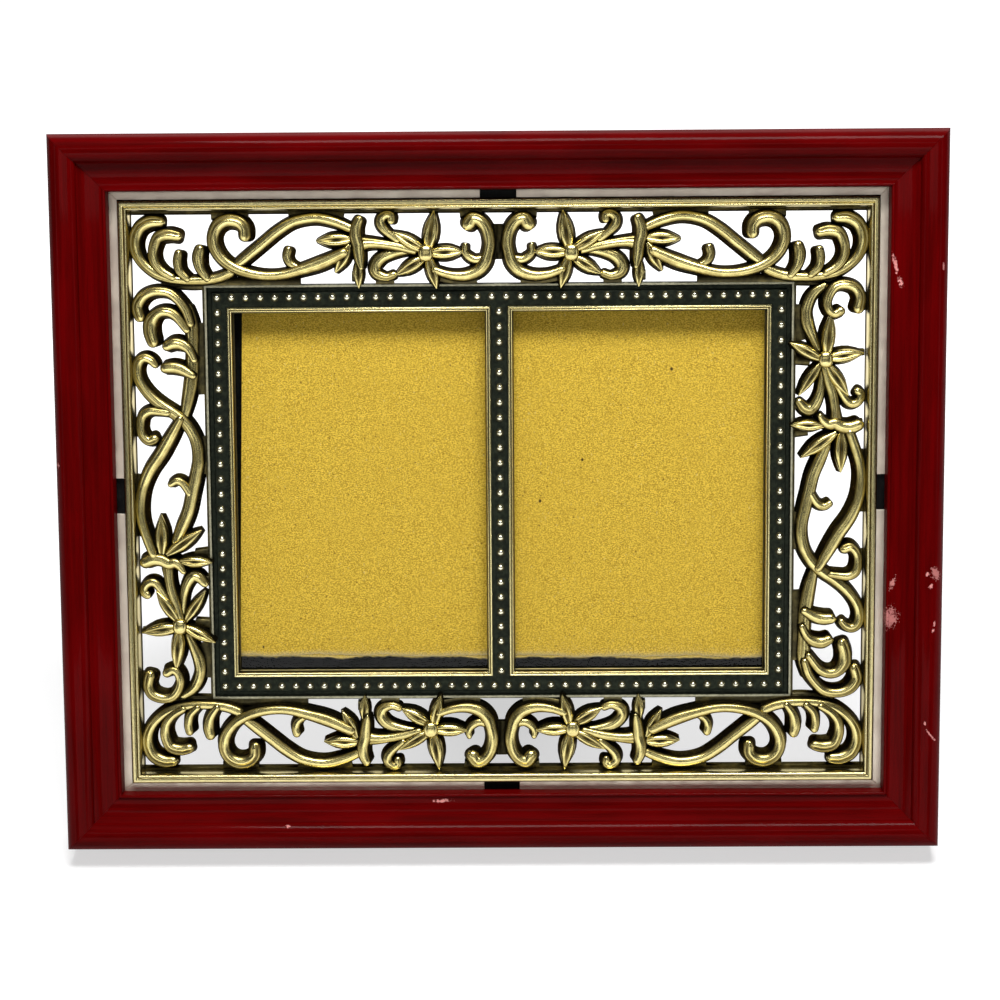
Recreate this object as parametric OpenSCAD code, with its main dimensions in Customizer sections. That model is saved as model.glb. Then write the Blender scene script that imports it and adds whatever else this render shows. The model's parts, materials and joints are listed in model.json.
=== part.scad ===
/* [Photo] */
// Width of one wallet photo
photo_w = 63.5; // [50:0.5:90]
// Height of one wallet photo
photo_h = 88.9; // [70:0.5:130]
// Play round a photo and its glass in the pocket
photo_play = 0.4; // [0.2:0.1:1]
// How far the window lip covers a photo at its left and right
side_cover = 2.4; // [1:0.1:4]
// How far the window lip covers a photo at its top and bottom
end_cover = 2; // [1:0.1:4]

/* [Wood moulding] */
// Width of the moulding seen from the front
rail_w = 13.2; // [10:0.2:24]
// Depth of the moulding from its back to its crest
rail_depth = 19; // [16:0.5:30]
// Width of the round outer bead
bead_w = 6.8; // [4:0.2:8]
// How far the outer bead rolls down at the outside edge
bead_roll = 4.2; // [2:0.2:6]
// Drop from the crest to the start of the hollow face
bead_drop = 2.1; // [1:0.1:3]
// Drop from the crest to the lip at the opening
sight_drop = 3; // [2.2:0.1:4]
// Sag of the hollow face
cove_sag = 0.5; // [0.1:0.1:0.9]
// Radius of the fine lip at the opening
sight_lip_r = 0.4; // [0.2:0.1:0.8]
// How far the rabbet reaches behind the lip
rabbet_w = 2.4; // [1.5:0.1:3.5]

/* [Metal insert] */
// Gap between the brass rim and the wood
rim_gap = 2.1; // [1.2:0.1:4]
// Width of the brass rim
rim_w = 2.3; // [1.6:0.1:4]
// Thickness of the brass rim from its back to its front
rim_t = 6.5; // [4:0.25:8]
// How far the rim lies behind the crest of the wood
rim_sink = 5.5; // [5:0.25:8]
// Thickness of the flange round the rim
flange_t = 1.2; // [0.8:0.1:2]
// Width of a notch in the flange
notch_w = 8.4; // [5:0.2:14]
// Width of the openwork band at the left and right
side_band_w = 16.7; // [12:0.1:26]
// Width of the openwork band at the top and bottom
top_band_w = 17.2; // [12:0.1:26]
// Depth of the openwork from its back to its highest crown
openwork_t = 5.6; // [4:0.2:6.2]
// Height of the two fine ridges on the rim
rim_ridge = 0.6; // [0.3:0.1:1.1]

/* [Window border] */
// Width of the beaded border on the outside of the windows
border_side = 6.5; // [5.5:0.1:9]
// Width of the divider between the two windows
divider_w = 6.2; // [5.8:0.1:12]
// Depth of the border from its back to its outer lip
border_t = 9; // [8:0.25:12]
// Width of the fine outer lip of the border
border_lip_w = 0.8; // [0.4:0.1:1.4]
// Width of the bright bead round each window
window_bead_w = 1.15; // [0.8:0.05:1.6]
// Height of the window bead above the beaded ground
window_bead_h = 0.9; // [0.4:0.1:1.4]
// Depth of the beaded ground below the outer lip
ground_drop = 0.4; // [0.2:0.1:1]
// Width of the dark groove beside the outer lip
groove_w = 1; // [0.4:0.1:1.2]
// Depth of the groove below the beaded ground
groove_depth = 0.6; // [0.3:0.1:1.2]
// Radius of one pearl
pearl_r = 0.65; // [0.4:0.05:0.9]
// Pearls along the top of the border
pearl_columns = 40; // [12:1:60]
// Pearls along one side of the border
pearl_rows = 27; // [9:1:40]

/* [Glass and boards] */
// Thickness of each glass
glass_t = 1.5; // [1:0.1:2]
// Thickness of the chipboard behind the glass
board_t = 1.2; // [0.6:0.1:1.6]
// Width of the chipboard
board_w = 125.4; // [100:0.2:127]
// Gap between the torn edge and the bottom of the windows
torn_gap = 2.4; // [1:0.2:8]
// Depth of the tears along the bottom edge
tear_depth = 0.9; // [0.2:0.1:2]
// Tilt of the chipboard in its pocket
board_tilt = 0.9; // [0:0.1:1]
// How much wider the chipboard is at its bottom
board_flare = 0.8; // [0:0.1:1.6]
// Thickness of the back panel
panel_t = 2; // [1.5:0.1:2.4]

/* [Easel] */
// Angle that the frame leans back
lean = 18; // [12:1:22]
// Angle between the open leg and the back
leg_open = 36; // [28:1:44]
// Height of the hinge above the bottom edge
hinge_height = 121; // [100:1:126]
// Thickness of the leg
leg_t = 3; // [2:0.25:4]
// Width of the leg at its top
leg_top_w = 30; // [24:1:50]
// Width of the leg at its foot
leg_foot_w = 46; // [30:1:80]
// Radius of the hinge pin
pin_r = 0.7; // [0.5:0.05:1]
// Radius of the hinge knuckles
knuckle_r = 1.4; // [1.2:0.05:1.8]
// Thickness of the hinge leaves
leaf_t = 0.6; // [0.4:0.05:0.8]
// Length of the hinge along its pin
hinge_l = 22; // [16:1:30]
// Height of the hinge leaves
leaf_h = 11; // [8:0.5:16]

/* [Fasteners] */
// Length of a turn button
button_l = 12; // [9:0.5:18]
// Width of a turn button
button_w = 4.2; // [3:0.2:4.4]
// Thickness of a turn button
button_t = 0.8; // [0.5:0.1:1.2]
// Radius of a turn button's rivet
button_rivet_r = 0.9; // [0.6:0.05:1.2]
// Distance of the turn buttons from the middle
button_x = 46; // [30:1:56]
// Width of a retaining clip
clip_w = 12; // [9:0.5:18]
// Thickness of the clip's steel
clip_t = 0.8; // [0.5:0.1:1.2]
// Length of the clip's foot on the back of the wood
clip_foot = 8; // [6:0.5:9]
// Radius of a clip screw's shank
screw_r = 1.1; // [0.8:0.05:1.5]
// Length of a clip screw's shank
screw_l = 8; // [5:0.5:12]
// Length of one arm of a corner nail
nail_arm = 4.5; // [3:0.25:6]
// Depth of a corner nail in the wood
nail_depth = 6; // [4:0.5:9]
// Thickness of a corner nail
nail_t = 0.5; // [0.3:0.1:0.8]

/* [Hidden] */

// Clearances and cuts
overrun = 1;
snug = 0.1;
run_fit = 0.05;
free_gap = 0.3;

// Windows and border
pocket_w = photo_w + 2 * photo_play;
pocket_h = photo_h + 2 * photo_play;
window_w = pocket_w - 2 * side_cover;
window_h = pocket_h - 2 * end_cover;
window_x = (window_w + divider_w) / 2;
side_wall = border_side - side_cover;
end_wall = border_side - end_cover;

// The chipboard, askew under its top right corner, and how far it reaches from there
board_fall = board_w * sin(board_tilt);
board_drop = (pocket_h + window_h - board_fall) / 2 - free_gap - torn_gap;
board_reach = (board_w + board_flare) * cos(board_tilt) + board_drop * sin(board_tilt);

// The pocket at the back is as wide as both photos or the chipboard need,
// and as high as the photos need or as the panel needs to carry the hinge
border_to_edge = top_band_w + rim_w + rim_gap + rail_w;
board_pocket_w = max(2 * window_x + pocket_w, board_reach + 2 * free_gap);
board_pocket_h = max(pocket_h,
    hinge_height + knuckle_r + 2 * free_gap - end_wall - border_to_edge);
border_w = board_pocket_w + 2 * side_wall;
border_h = board_pocket_h + 2 * end_wall;
ground_z = border_t - ground_drop;

// Pearls run along the middle of the ground between the outer lip and the window beads
pearl_across = (border_w / 2 - border_lip_w + window_x + window_w / 2 + window_bead_w) / 2;
pearl_up = (border_h / 2 - border_lip_w + window_h / 2 + window_bead_w) / 2;

// Rim and wood
opening_w = border_w + 2 * side_band_w;
opening_h = border_h + 2 * top_band_w;
rim_outer_w = opening_w + 2 * rim_w;
rim_outer_h = opening_h + 2 * rim_w;
sight_w = rim_outer_w + 2 * rim_gap;
sight_h = rim_outer_h + 2 * rim_gap;
frame_w = sight_w + 2 * rail_w;
frame_h = sight_h + 2 * rail_w;
rim_front = rail_depth - rim_sink;
rim_back = rim_front - rim_t;
flange_front = rim_front - rim_t / 3;
flange_back = flange_front - flange_t;
flange_reach = rabbet_w - free_gap;

// Layers behind the window lip, from the front to the back
glass_seat = panel_t + free_gap + leaf_t + board_t + snug + glass_t + snug;
web_back = glass_seat - glass_t - snug;
board_back = web_back - snug - board_t;

// Hinge, with its pin behind the panel and the leg behind the pin
pin_z = -knuckle_r - free_gap;
pin_y = hinge_height - frame_h / 2;
knuckles = 5;
knuckle_gap = 0.3;
knuckle_l = (hinge_l - (knuckles - 1) * knuckle_gap) / knuckles;
leg_face = knuckle_r + free_gap;
rivet_r = 0.9;
rivet_head_r = 1.7;
rivet_head_h = 0.6;
rivet_shares = [-0.36, 0, 0.36];

// Where the open leg meets the ground, measured down each of its faces
leg_tilt = leg_open - lean;
pin_up = hinge_height * cos(lean) + pin_z * sin(lean);
function leg_reach(depth) = (pin_up + depth * sin(leg_tilt)) / cos(leg_tilt);
leg_back = leg_face + leg_t;
leg_stop = (-pin_z + leg_face * cos(leg_open) - free_gap) / sin(leg_open);
leg_corner_r = 2;

// The leaning frame is centred on the ground that it covers
front_y = -(rail_depth - bead_roll) * cos(lean) + bead_w / 2 * sin(lean)
    - norm([bead_roll * cos(lean), bead_w / 2 * sin(lean)]);
rear_y = hinge_height * sin(lean) - pin_z * cos(lean)
    + leg_back * cos(leg_tilt) + leg_reach(leg_back) * sin(leg_tilt);
centre_y = (front_y + rear_y) / 2;

// Turn buttons and their rivets in the wall round the board pocket
button_y = (board_pocket_h + end_wall) / 2;
button_pivot_share = 0.2;
button_tab = 1.2;
button_rivet_l = 3;

// Clips, screws and corner nails
clip_wall = rail_w - rabbet_w;
clip_reach = rabbet_w + rim_gap - free_gap;
screw_inset = clip_wall - clip_foot / 2;
screw_head_r = 2.1;
screw_head_h = 1.2;
screw_slot_w = 0.5;
screw_slot_depth = 0.6;
nail_inset = clip_wall / 2;

// Filigree levels, as shares of the openwork's depth
low_share = 0.62;
mid_share = 0.8;
high_share = 0.92;
crown_share = 0.3;
web_share = 0.35;

wood = [0.36, 0.03, 0.03];
brass = [0.72, 0.64, 0.4];
patina = [0.12, 0.14, 0.1];
steel = [0.55, 0.55, 0.55];
black = [0.08, 0.08, 0.08];
kraft = [0.8, 0.64, 0.3];

// Top band, left half: places in percent of the half length and of the band,
// and the width of the scroll in percent of the band
half_scroll_shares = [
    // Outer frond and the stem that carries the fronds
    [mid_share, [[8.3, 85, 15], [5.8, 85, 18], [3.2, 79, 17], [1.7, 66, 15], [1.4, 51, 14],
        [2.4, 37, 13], [4.4, 25, 13], [7.2, 15, 13], [10.5, 9, 12], [15, 6, 11], [20, 6.5, 11],
        [24, 10, 13], [27, 16, 13]]],
    [high_share, [[13, 64, 14], [10.6, 66.5, 15], [8.2, 63, 14], [6.8, 53, 13], [6.3, 42, 12],
        [6.9, 30, 11], [8.6, 19, 10], [11.5, 11, 9]]],
    [high_share, [[13.3, 42, 10], [13, 31, 10], [13.5, 19, 9], [15.5, 8, 8]]],
    [high_share, [[19.2, 47, 11], [18.9, 36, 12], [19.5, 21, 10], [21, 8, 8]]],
    // C-scroll that runs on as the lower vine
    [high_share, [[32, 67, 14], [31.3, 77, 16], [29.4, 84.5, 18], [26.8, 86.5, 18],
        [24.4, 80, 16], [23.1, 67, 15], [23.3, 52, 14], [24.8, 37, 14], [27.3, 26, 14],
        [31, 18, 14], [36, 13, 13], [41, 14, 13], [46, 20, 13], [52, 32, 13], [58, 48, 10]]],
    // S-scroll that climbs to the rim
    [mid_share, [[27.5, 18, 12], [31, 33, 15], [35.5, 51, 16], [40, 69, 16], [44.5, 82, 16],
        [50, 87.5, 16], [55, 82.5, 15], [60, 72, 12]]],
    [mid_share, [[43.3, 46, 9], [42.9, 36, 10], [43.6, 27, 9], [46, 20, 7]]],
    // Trumpet and its throat
    [high_share, [[62.5, 86, 9], [61.2, 76, 13], [61.3, 64, 14], [62.1, 53, 14], [61.8, 42, 14],
        [62.2, 30, 10], [62.6, 24, 4]]],
    [mid_share, [[62.4, 54, 22], [65, 55, 16], [68.5, 53.5, 13], [72.5, 50, 12], [77, 44, 10]]],
    // Small curls beside the throat
    [mid_share, [[71.2, 84, 8], [71.3, 91, 9], [69.8, 93.5, 10], [68.6, 87, 10], [68.9, 77, 9],
        [70, 69, 8], [72, 58, 7]]],
    [low_share, [[71.3, 12.5, 8], [69.6, 8.5, 9], [67.7, 13, 11], [67.4, 23, 12], [69.5, 32, 11],
        [72.5, 38, 10], [77, 42, 9]]],
    // C-scroll at the middle with its hook
    [high_share, [[92.4, 82, 18], [93.7, 88.5, 17], [95.7, 83, 15], [97.2, 71, 14],
        [97.8, 55, 14], [97.3, 40, 14], [95.9, 27, 14], [93.6, 17, 13], [90.3, 11.5, 11],
        [86.8, 13, 9], [83, 20, 8]]],
    [mid_share, [[91.3, 53, 5], [90.9, 44, 8], [91.8, 37, 10], [93.6, 32, 11], [96.4, 34, 11]]]
];
// Leaves of the same half: base, tip and width
half_leaf_shares = [
    [mid_share, [60.5, 58], [51, 57], 19],
    [mid_share, [60, 53], [55.6, 15], 15],
    [low_share, [61.3, 30], [62.1, -6], 13],
    [high_share, [80.9, 42], [83, 98], 18],
    [high_share, [80.6, 42], [71.6, 69], 16],
    [mid_share, [80.6, 38], [72.4, 14], 15],
    [high_share, [81, 38], [83.3, -7], 15],
    [high_share, [80.6, 41], [90.6, 42], 16]
];
half_flower_shares = [80.6, 39.5, 21];
// Webs that tie the same half to the rim and the border
half_web_shares = [
    [[4, 97, 8], [9, 97, 8]],
    [[24, 97, 8], [30.5, 97, 8]],
    [[44, 97, 8], [50, 97.5, 9], [57.5, 94, 10]],
    [[69, 98, 8], [72, 98, 8]],
    [[91, 97, 8], [95.5, 97, 8]],
    [[28, 5, 10], [37, 4, 12], [46, 5, 10]],
    [[66.5, 4, 8], [71.5, 4, 8]],
    [[84, 8, 10], [89, 4, 10], [94, 6, 12]],
    [[98.5, 58, 12], [101, 58, 12]],
    [[60, 10, 9], [63, 10, 9]],
    [[14, 2, 8], [22, 2, 8]]
];

// Left band: places in percent of the band and of its length from the top,
// and the width of the scroll in percent of the band
side_scroll_shares = [
    // Fronds and the dark stem that carries them
    [high_share, [[12, 7.4, 15], [10.5, 5, 16], [17, 2.8, 17], [28, 1.5, 16], [42, 1, 16],
        [56, 1.7, 15], [67, 3.5, 13], [75, 6, 10], [81, 9, 9]]],
    [low_share, [[77, 7, 10], [83, 11, 13], [86, 15.5, 15], [85, 20, 17], [81, 24, 17],
        [77, 28, 15], [71, 31.5, 12]]],
    [high_share, [[33, 13, 15], [28.5, 10.8, 16], [30, 8.2, 16], [38, 6.6, 15], [50, 6, 14],
        [63, 6.5, 12], [78, 9, 9]]],
    [high_share, [[53, 14.2, 12], [60, 13.3, 14], [70, 13.4, 13], [80, 15, 11], [86, 17.5, 8]]],
    [high_share, [[50, 19.7, 16], [58, 19.3, 17], [69, 19.8, 15], [84, 21, 9]]],
    // Long S-scroll
    [mid_share, [[36, 18.7, 10], [30, 17.3, 12], [21, 16.7, 13], [12.5, 17.4, 14], [8, 19.6, 14],
        [10, 22, 14], [18, 24.4, 15], [29, 26.6, 16], [43, 28.6, 17], [58, 30.3, 17],
        [71, 32.2, 17], [82, 34.8, 16], [90, 38, 15], [90.5, 42, 15], [85, 46, 16], [78, 50, 16],
        [72, 53.5, 16], [65, 57, 14], [56, 61, 11]]],
    [mid_share, [[51, 47, 9], [58, 46.2, 11], [67, 46.7, 11], [76, 49, 10]]],
    // C-scroll and the long S-scroll below it
    [high_share, [[30, 36.8, 16], [21, 37.1, 15], [13, 35.6, 14], [10.5, 33.4, 14],
        [14.5, 31.2, 14], [24, 29.8, 13], [35, 29, 12], [46, 29.6, 10]]],
    [high_share, [[66, 31.5, 10], [59, 33.4, 13], [50, 36, 15], [38, 40, 16], [24, 44, 17],
        [14.5, 48, 16], [9.8, 52, 14], [10.8, 56, 13], [16.5, 60, 13], [24, 64, 12]]],
    // Trumpet and its throat
    [high_share, [[15, 65.6, 19], [25, 65.3, 19], [35, 66.1, 16], [43, 67, 15], [52, 66.3, 15],
        [61, 66.9, 12], [66, 67.9, 8]]],
    [mid_share, [[43, 67, 20], [43.5, 70, 14], [45.5, 73, 12], [52, 76, 12], [59, 79, 11]]],
    // Small curls beside the throat
    [mid_share, [[10.8, 73.8, 11], [9.4, 72.3, 12], [14, 70.9, 12], [22, 70.6, 12], [30, 71.6, 9],
        [40, 74, 7]]],
    [low_share, [[91, 70.6, 9], [82, 69.6, 11], [74, 69.9, 11], [67, 71.6, 10], [63.5, 74, 9],
        [61, 78, 9]]],
    // C-scroll at the end and the dark stem beside it
    [high_share, [[15, 93.2, 17], [12.8, 95.4, 17], [17, 97.7, 17], [26, 99, 16], [37, 99.2, 15],
        [48, 98.5, 15], [56, 96.9, 14], [58.5, 95, 12], [55, 93.2, 10], [48, 92.5, 10],
        [42, 92.7, 11]]],
    [low_share, [[68, 83.5, 9], [77, 86.8, 11], [84, 90, 13], [86, 93, 14], [81, 95.8, 14],
        [73, 97.6, 13], [60, 98.8, 11]]]
];
side_leaf_shares = [
    [mid_share, [36, 65], [38, 54], 21],
    [high_share, [42, 64.5], [92, 57.4], 17],
    [high_share, [60, 65.6], [108, 65.6], 16],
    [high_share, [60, 81], [30, 73], 16],
    [high_share, [60, 81.6], [5, 83.2], 19],
    [high_share, [58, 81.6], [53, 93], 18],
    [high_share, [62, 81.3], [109, 85.6], 15],
    [mid_share, [61, 80.5], [94, 72.8], 13]
];
side_flower_shares = [59.5, 81.4, 22];
side_web_shares = [
    [[2, 3, 10], [3, 7, 10]],
    [[2, 18, 8], [2, 21.5, 8]],
    [[3, 31.5, 10], [3, 35.5, 10]],
    [[3, 48, 10], [3, 55, 10]],
    [[3, 65.8, 12], [14, 65.8, 10]],
    [[2, 83, 8], [9, 83.1, 8]],
    [[3, 93, 10], [4, 96.5, 10]],
    [[92, 15, 14], [94, 19, 14], [93, 23, 12]],
    [[96, 39, 10], [97, 43, 10], [95, 47, 10]],
    [[88, 64.6, 10], [98, 64.6, 10]],
    [[90, 70.5, 10], [98, 71, 10]],
    [[92, 88, 12], [95, 91, 12], [92, 94, 12]],
    [[60, 1.5, 10], [84, 3, 14], [98, 1, 8]]
];

// Smooth curve through points that carry a width as their third value
function spline_point(p, i, t) =
    let (n = len(p) - 1, a = p[max(i - 1, 0)], b = p[i], c = p[i + 1], d = p[min(i + 2, n)])
    (2 * b + (c - a) * t + (2 * a - 5 * b + 4 * c - d) * t * t
        + (3 * b - a - 3 * c + d) * t * t * t) / 2;
function flat(p) = [p[0], p[1]];
function unit(v) = v / norm(v);
function heading(p, i) = unit(flat(p[min(i + 1, len(p) - 1)]) - flat(p[max(i - 1, 0)]));
function turn_at(p, i) = i < 1 || i > len(p) - 2 ? 0
    : acos(min(1, unit(flat(p[i]) - flat(p[i - 1])) * unit(flat(p[i + 1]) - flat(p[i]))));

// The same points, with one more in each stretch that bends sharply
sharp_bend = 76;
function smooth(p) = concat(
    [for (i = [0 : len(p) - 2])
        each turn_at(p, i) + turn_at(p, i + 1) > sharp_bend ? [p[i], spline_point(p, i, 0.5)] : [p[i]]],
    [p[len(p) - 1]]);
function arc(centre, r_across, r_up, from, to, steps) = [for (i = [0 : steps])
    let (a = from + (to - from) * i / steps) centre + [r_across * cos(a), r_up * sin(a)]];

// One section across a scroll: side walls from the back up to a crown
function ring(at, side, w, back, front) = [
    [at[0] - side[0] * w / 2, at[1] - side[1] * w / 2, back],
    [at[0] + side[0] * w / 2, at[1] + side[1] * w / 2, back],
    [at[0] + side[0] * w / 2, at[1] + side[1] * w / 2, front - w * crown_share],
    [at[0], at[1], front],
    [at[0] - side[0] * w / 2, at[1] - side[1] * w / 2, front - w * crown_share]];
ring_points = 5;
tip_share = 0.6;

// A band swept along a path, with its first end round on a scroll and square on a web
module swept(p, back, front, round_end) {
    out = -heading(p, 0);
    w = p[0][2];
    tip = ring(flat(p[0]) + out * w / 2 * sqrt(1 - tip_share * tip_share), [out[1], -out[0]],
        w * tip_share, back, front - w * (1 - tip_share) / 4);
    body = [for (i = [0 : len(p) - 1]) let (h = heading(p, i))
        ring(flat(p[i]), [-h[1], h[0]], p[i][2], back, front)];
    rings = round_end ? concat([tip], body) : body;
    n = len(rings);
    walls = [for (i = [0 : n - 2]) for (k = [0 : ring_points - 1])
        let (a = i * ring_points + k, b = i * ring_points + (k + 1) % ring_points)
        each [[a, a + ring_points, b], [b, a + ring_points, b + ring_points]]];
    last = (n - 1) * ring_points;
    ends = [for (k = [1 : ring_points - 2])
        each [[0, k, k + 1], [last, last + k + 1, last + k]]];
    polyhedron(points = [for (r = rings) each r], faces = concat(walls, ends));
}

// A pointed leaf with a ridge, from its base to its tip
module leaf(base, tip, w, back, front) {
    l = norm(tip - base);
    half = [[0, 0.34], [0.32, 0.94], [0.6, 0.88], [0.85, 0.4], [1, 0]];
    outline = concat([for (s = half) [s[0] * l, s[1] * w / 2]],
        [for (i = [len(half) - 2 : -1 : 0]) [half[i][0] * l, -half[i][1] * w / 2]]);
    ridge = [[0, w / 12], [l * 0.8, 0], [0, -w / 12]];
    shoulder = front - w * crown_share;
    translate([base[0], base[1], 0])
        rotate([0, 0, atan2(tip[1] - base[1], tip[0] - base[0])])
            hull() {
                translate([0, 0, back])
                    linear_extrude(shoulder - back)
                        polygon(outline);
                translate([0, 0, shoulder])
                    linear_extrude(front - shoulder)
                        polygon(ridge);
            }
}

// The boss at the middle of a flower
module flower_boss(at, w, back, front) {
    translate([at[0], at[1], back])
        hull() {
            cylinder(r = w / 2, h = (front - back) * high_share, $fn = 12);
            cylinder(r = w / 4, h = front - back, $fn = 12);
        }
}

// A whole motif: scrolls, leaves, flower and webs between a back and a front
module motif(scrolls, leaves, flower, webs, place, across) {
    back = rim_back;
    for (s = scrolls)
        swept(smooth([for (q = s[1]) place(q)]), back, back + openwork_t * s[0], true);
    for (l = leaves)
        leaf(flat(place([l[1][0], l[1][1], 0])), flat(place([l[2][0], l[2][1], 0])),
            l[3] * across / 100, back, back + openwork_t * l[0]);
    flower_boss(flat(place(flower)), place(flower)[2], back, back + openwork_t);
    for (w = webs)
        swept([for (q = w) place(q)], back, back + openwork_t * web_share, false);
}

// Places in the plane of the frame, from the shares of a band
top_place = function(q) [(q[0] / 100 - 1) * opening_w / 2, border_h / 2 + q[1] / 100 * top_band_w,
    q[2] / 100 * top_band_w];
side_place = function(q) [q[0] / 100 * side_band_w - opening_w / 2, (1 - q[1] / 50) * border_h / 2,
    q[2] / 100 * side_band_w];

// The space of the top band, and above the border's lip also that over its edge
module top_band() {
    translate([-opening_w / 2, border_h / 2, 0])
        cube([opening_w, top_band_w, rim_front]);
    translate([-border_w / 2, border_h / 2 - border_side, border_t])
        cube([border_w, border_side + top_band_w, rim_front - border_t]);
}

// The space of the left band, and above the border's lip also that over its edge
module side_band() {
    translate([-opening_w / 2, -border_h / 2, 0])
        cube([side_band_w, border_h, rim_front]);
    translate([-opening_w / 2, -border_h / 2, border_t])
        cube([side_band_w + border_side, border_h, rim_front - border_t]);
}

// Openwork of the top band: one half motif and its mirror image
module top_openwork() {
    intersection() {
        for (side = [0, 1])
            mirror([side, 0, 0])
                motif(half_scroll_shares, half_leaf_shares, half_flower_shares, half_web_shares,
                    top_place, top_band_w);
        top_band();
    }
}

module side_openwork() {
    intersection() {
        motif(side_scroll_shares, side_leaf_shares, side_flower_shares, side_web_shares,
            side_place, side_band_w);
        side_band();
    }
}

// Sets the leaning frame on the ground, from its own plane with its middle at the origin
module stand() {
    translate([0, -centre_y, 0])
        rotate([90 - lean, 0, 0])
            translate([0, frame_h / 2, 0])
                children();
}

// Sets the open leg, from its own place with the pin along X and the leg down the Y axis
module on_pin(turn) {
    stand()
        translate([0, pin_y, pin_z])
            rotate([turn, 0, 0])
                children();
}

// One side of a mitred frame: an outline across it, drawn along X, and cut at its two mitres
module mitred_side(length, across, height) {
    reach = across + overrun;
    intersection() {
        rotate([90, 0, 90])
            linear_extrude(length + 2 * overrun, center = true)
                children();
        translate([0, 0, -overrun])
            linear_extrude(height + 2 * overrun)
                polygon([[-length / 2 - overrun, -overrun], [length / 2 + overrun, -overrun],
                    [length / 2 - reach, reach], [reach - length / 2, reach]]);
    }
}

// Turns a side that lies along X, with its outer edge at the origin, to one side of a frame
module to_side(turn, w, h) {
    rotate([0, 0, turn * 90])
        translate([0, -(turn % 2 == 0 ? h : w) / 2, 0])
            children();
}

module mitred_frame(w, h, across, height) {
    for (turn = [0 : 3])
        to_side(turn, w, h)
            mitred_side(turn % 2 == 0 ? w : h, across, height)
                children();
}

// Outline of the wood moulding, from its outer edge inwards and from its back up
cove_steps = 5;
cove_from = [bead_w, rail_depth - bead_drop];
cove_to = [rail_w - 2 * sight_lip_r, rail_depth - sight_drop - sight_lip_r];
function moulding() = concat(
    [[0, 0]],
    arc([bead_w / 2, rail_depth - bead_roll], bead_w / 2, bead_roll, 180, 90, 7),
    arc([bead_w / 2, rail_depth - bead_drop], bead_w / 2, bead_drop, 75, 0, 5),
    [for (i = [1 : cove_steps - 1]) let (t = i / cove_steps)
        cove_from + (cove_to - cove_from) * t - [0, cove_sag * 4 * t * (1 - t)]],
    arc([rail_w - sight_lip_r, cove_to[1]], sight_lip_r, sight_lip_r, 180, 0, 6),
    [[rail_w, flange_front + snug], [clip_wall, flange_front + snug], [clip_wall, 0]]);

// Screw, with its shank up from the origin and its head below
module screw() {
    difference() {
        rotate_extrude($fn = 32)
            polygon(concat(arc([0, 0], screw_head_r, screw_head_h, 270, 360, 6),
                [[screw_r, 0], [screw_r, screw_l - screw_r], [0, screw_l]]));
        translate([-screw_head_r, -screw_slot_w / 2, -screw_head_h - overrun])
            cube([2 * screw_head_r, screw_slot_w, overrun + screw_slot_depth]);
    }
}

// Places at the middle of each side where a clip is screwed on
module at_screws() {
    for (turn = [0 : 3])
        to_side(turn, frame_w, frame_h)
            translate([0, screw_inset, 0])
                children();
}

// One V nail across each mitre
module nails() {
    bend = [[-nail_t, -nail_t] / 2, [nail_arm, -nail_t / 2], [nail_arm, nail_t / 2],
        [nail_t, nail_t] / 2, [nail_t / 2, nail_arm], [-nail_t / 2, nail_arm]];
    for (sx = [-1, 1], sy = [-1, 1])
        translate([sx * (frame_w / 2 - nail_inset), sy * (frame_h / 2 - nail_inset), 0])
            linear_extrude(nail_depth)
                polygon([for (p = bend) [-sx * p[0], -sy * p[1]]]);
}

module rail(turn) {
    color(wood)
        stand()
            difference() {
                to_side(turn, frame_w, frame_h)
                    mitred_side(turn % 2 == 0 ? frame_w : frame_h, rail_w, rail_depth)
                        polygon(moulding());
                nails();
                at_screws()
                    translate([0, 0, -overrun])
                        cylinder(r = screw_r + run_fit, h = overrun + screw_l, $fn = 32);
            }
}

module corner_nails() {
    color(steel)
        stand()
            nails();
}

module retaining_clips() {
    bend = [[clip_wall - clip_foot, -clip_t], [clip_wall + clip_t, -clip_t],
        [clip_wall + clip_t, flange_back - clip_t], [clip_wall + clip_reach, flange_back - clip_t],
        [clip_wall + clip_reach, flange_back], [clip_wall, flange_back], [clip_wall, 0],
        [clip_wall - clip_foot, 0]];
    color(black)
        stand()
            difference() {
                for (turn = [0 : 3])
                    to_side(turn, frame_w, frame_h)
                        rotate([90, 0, 90])
                            linear_extrude(clip_w, center = true)
                                polygon(bend);
                at_screws()
                    translate([0, 0, -clip_t - overrun])
                        cylinder(r = screw_r + run_fit, h = clip_t + 2 * overrun, $fn = 32);
            }
}

module clip_screws() {
    color(steel)
        stand()
            at_screws()
                translate([0, 0, -clip_t])
                    screw();
}

// Two fine ridges side by side over a width, as the top of an outline that runs inwards
function ridges(from, w, base, h) = concat(
    arc([from + w / 4, base], w / 4, h, 180, 0, 6),
    arc([from + 3 * w / 4, base], w / 4, h, 150, 0, 5));

module metal_rim() {
    flange_w = rim_gap + flange_reach;
    color(brass)
        stand()
            difference() {
                mitred_frame(rim_outer_w + 2 * flange_w, rim_outer_h + 2 * flange_w,
                    flange_w + rim_w, rim_front)
                    polygon(concat([[0, flange_back], [0, flange_front], [flange_w, flange_front]],
                        ridges(flange_w, rim_w, rim_front - rim_ridge, rim_ridge),
                        [[flange_w + rim_w, rim_back], [flange_w, rim_back],
                            [flange_w, flange_back]]));
                for (turn = [0 : 3])
                    to_side(turn, rim_outer_w, rim_outer_h)
                        translate([-notch_w / 2, -flange_w - overrun, flange_back - overrun])
                            cube([notch_w, flange_w + overrun, flange_t + 2 * overrun]);
            }
}

module top_filigree() {
    color(brass)
        stand()
            top_openwork();
}

module bottom_filigree() {
    color(brass)
        stand()
            mirror([0, 1, 0])
                top_openwork();
}

module left_filigree() {
    color(brass)
        stand()
            side_openwork();
}

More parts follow.
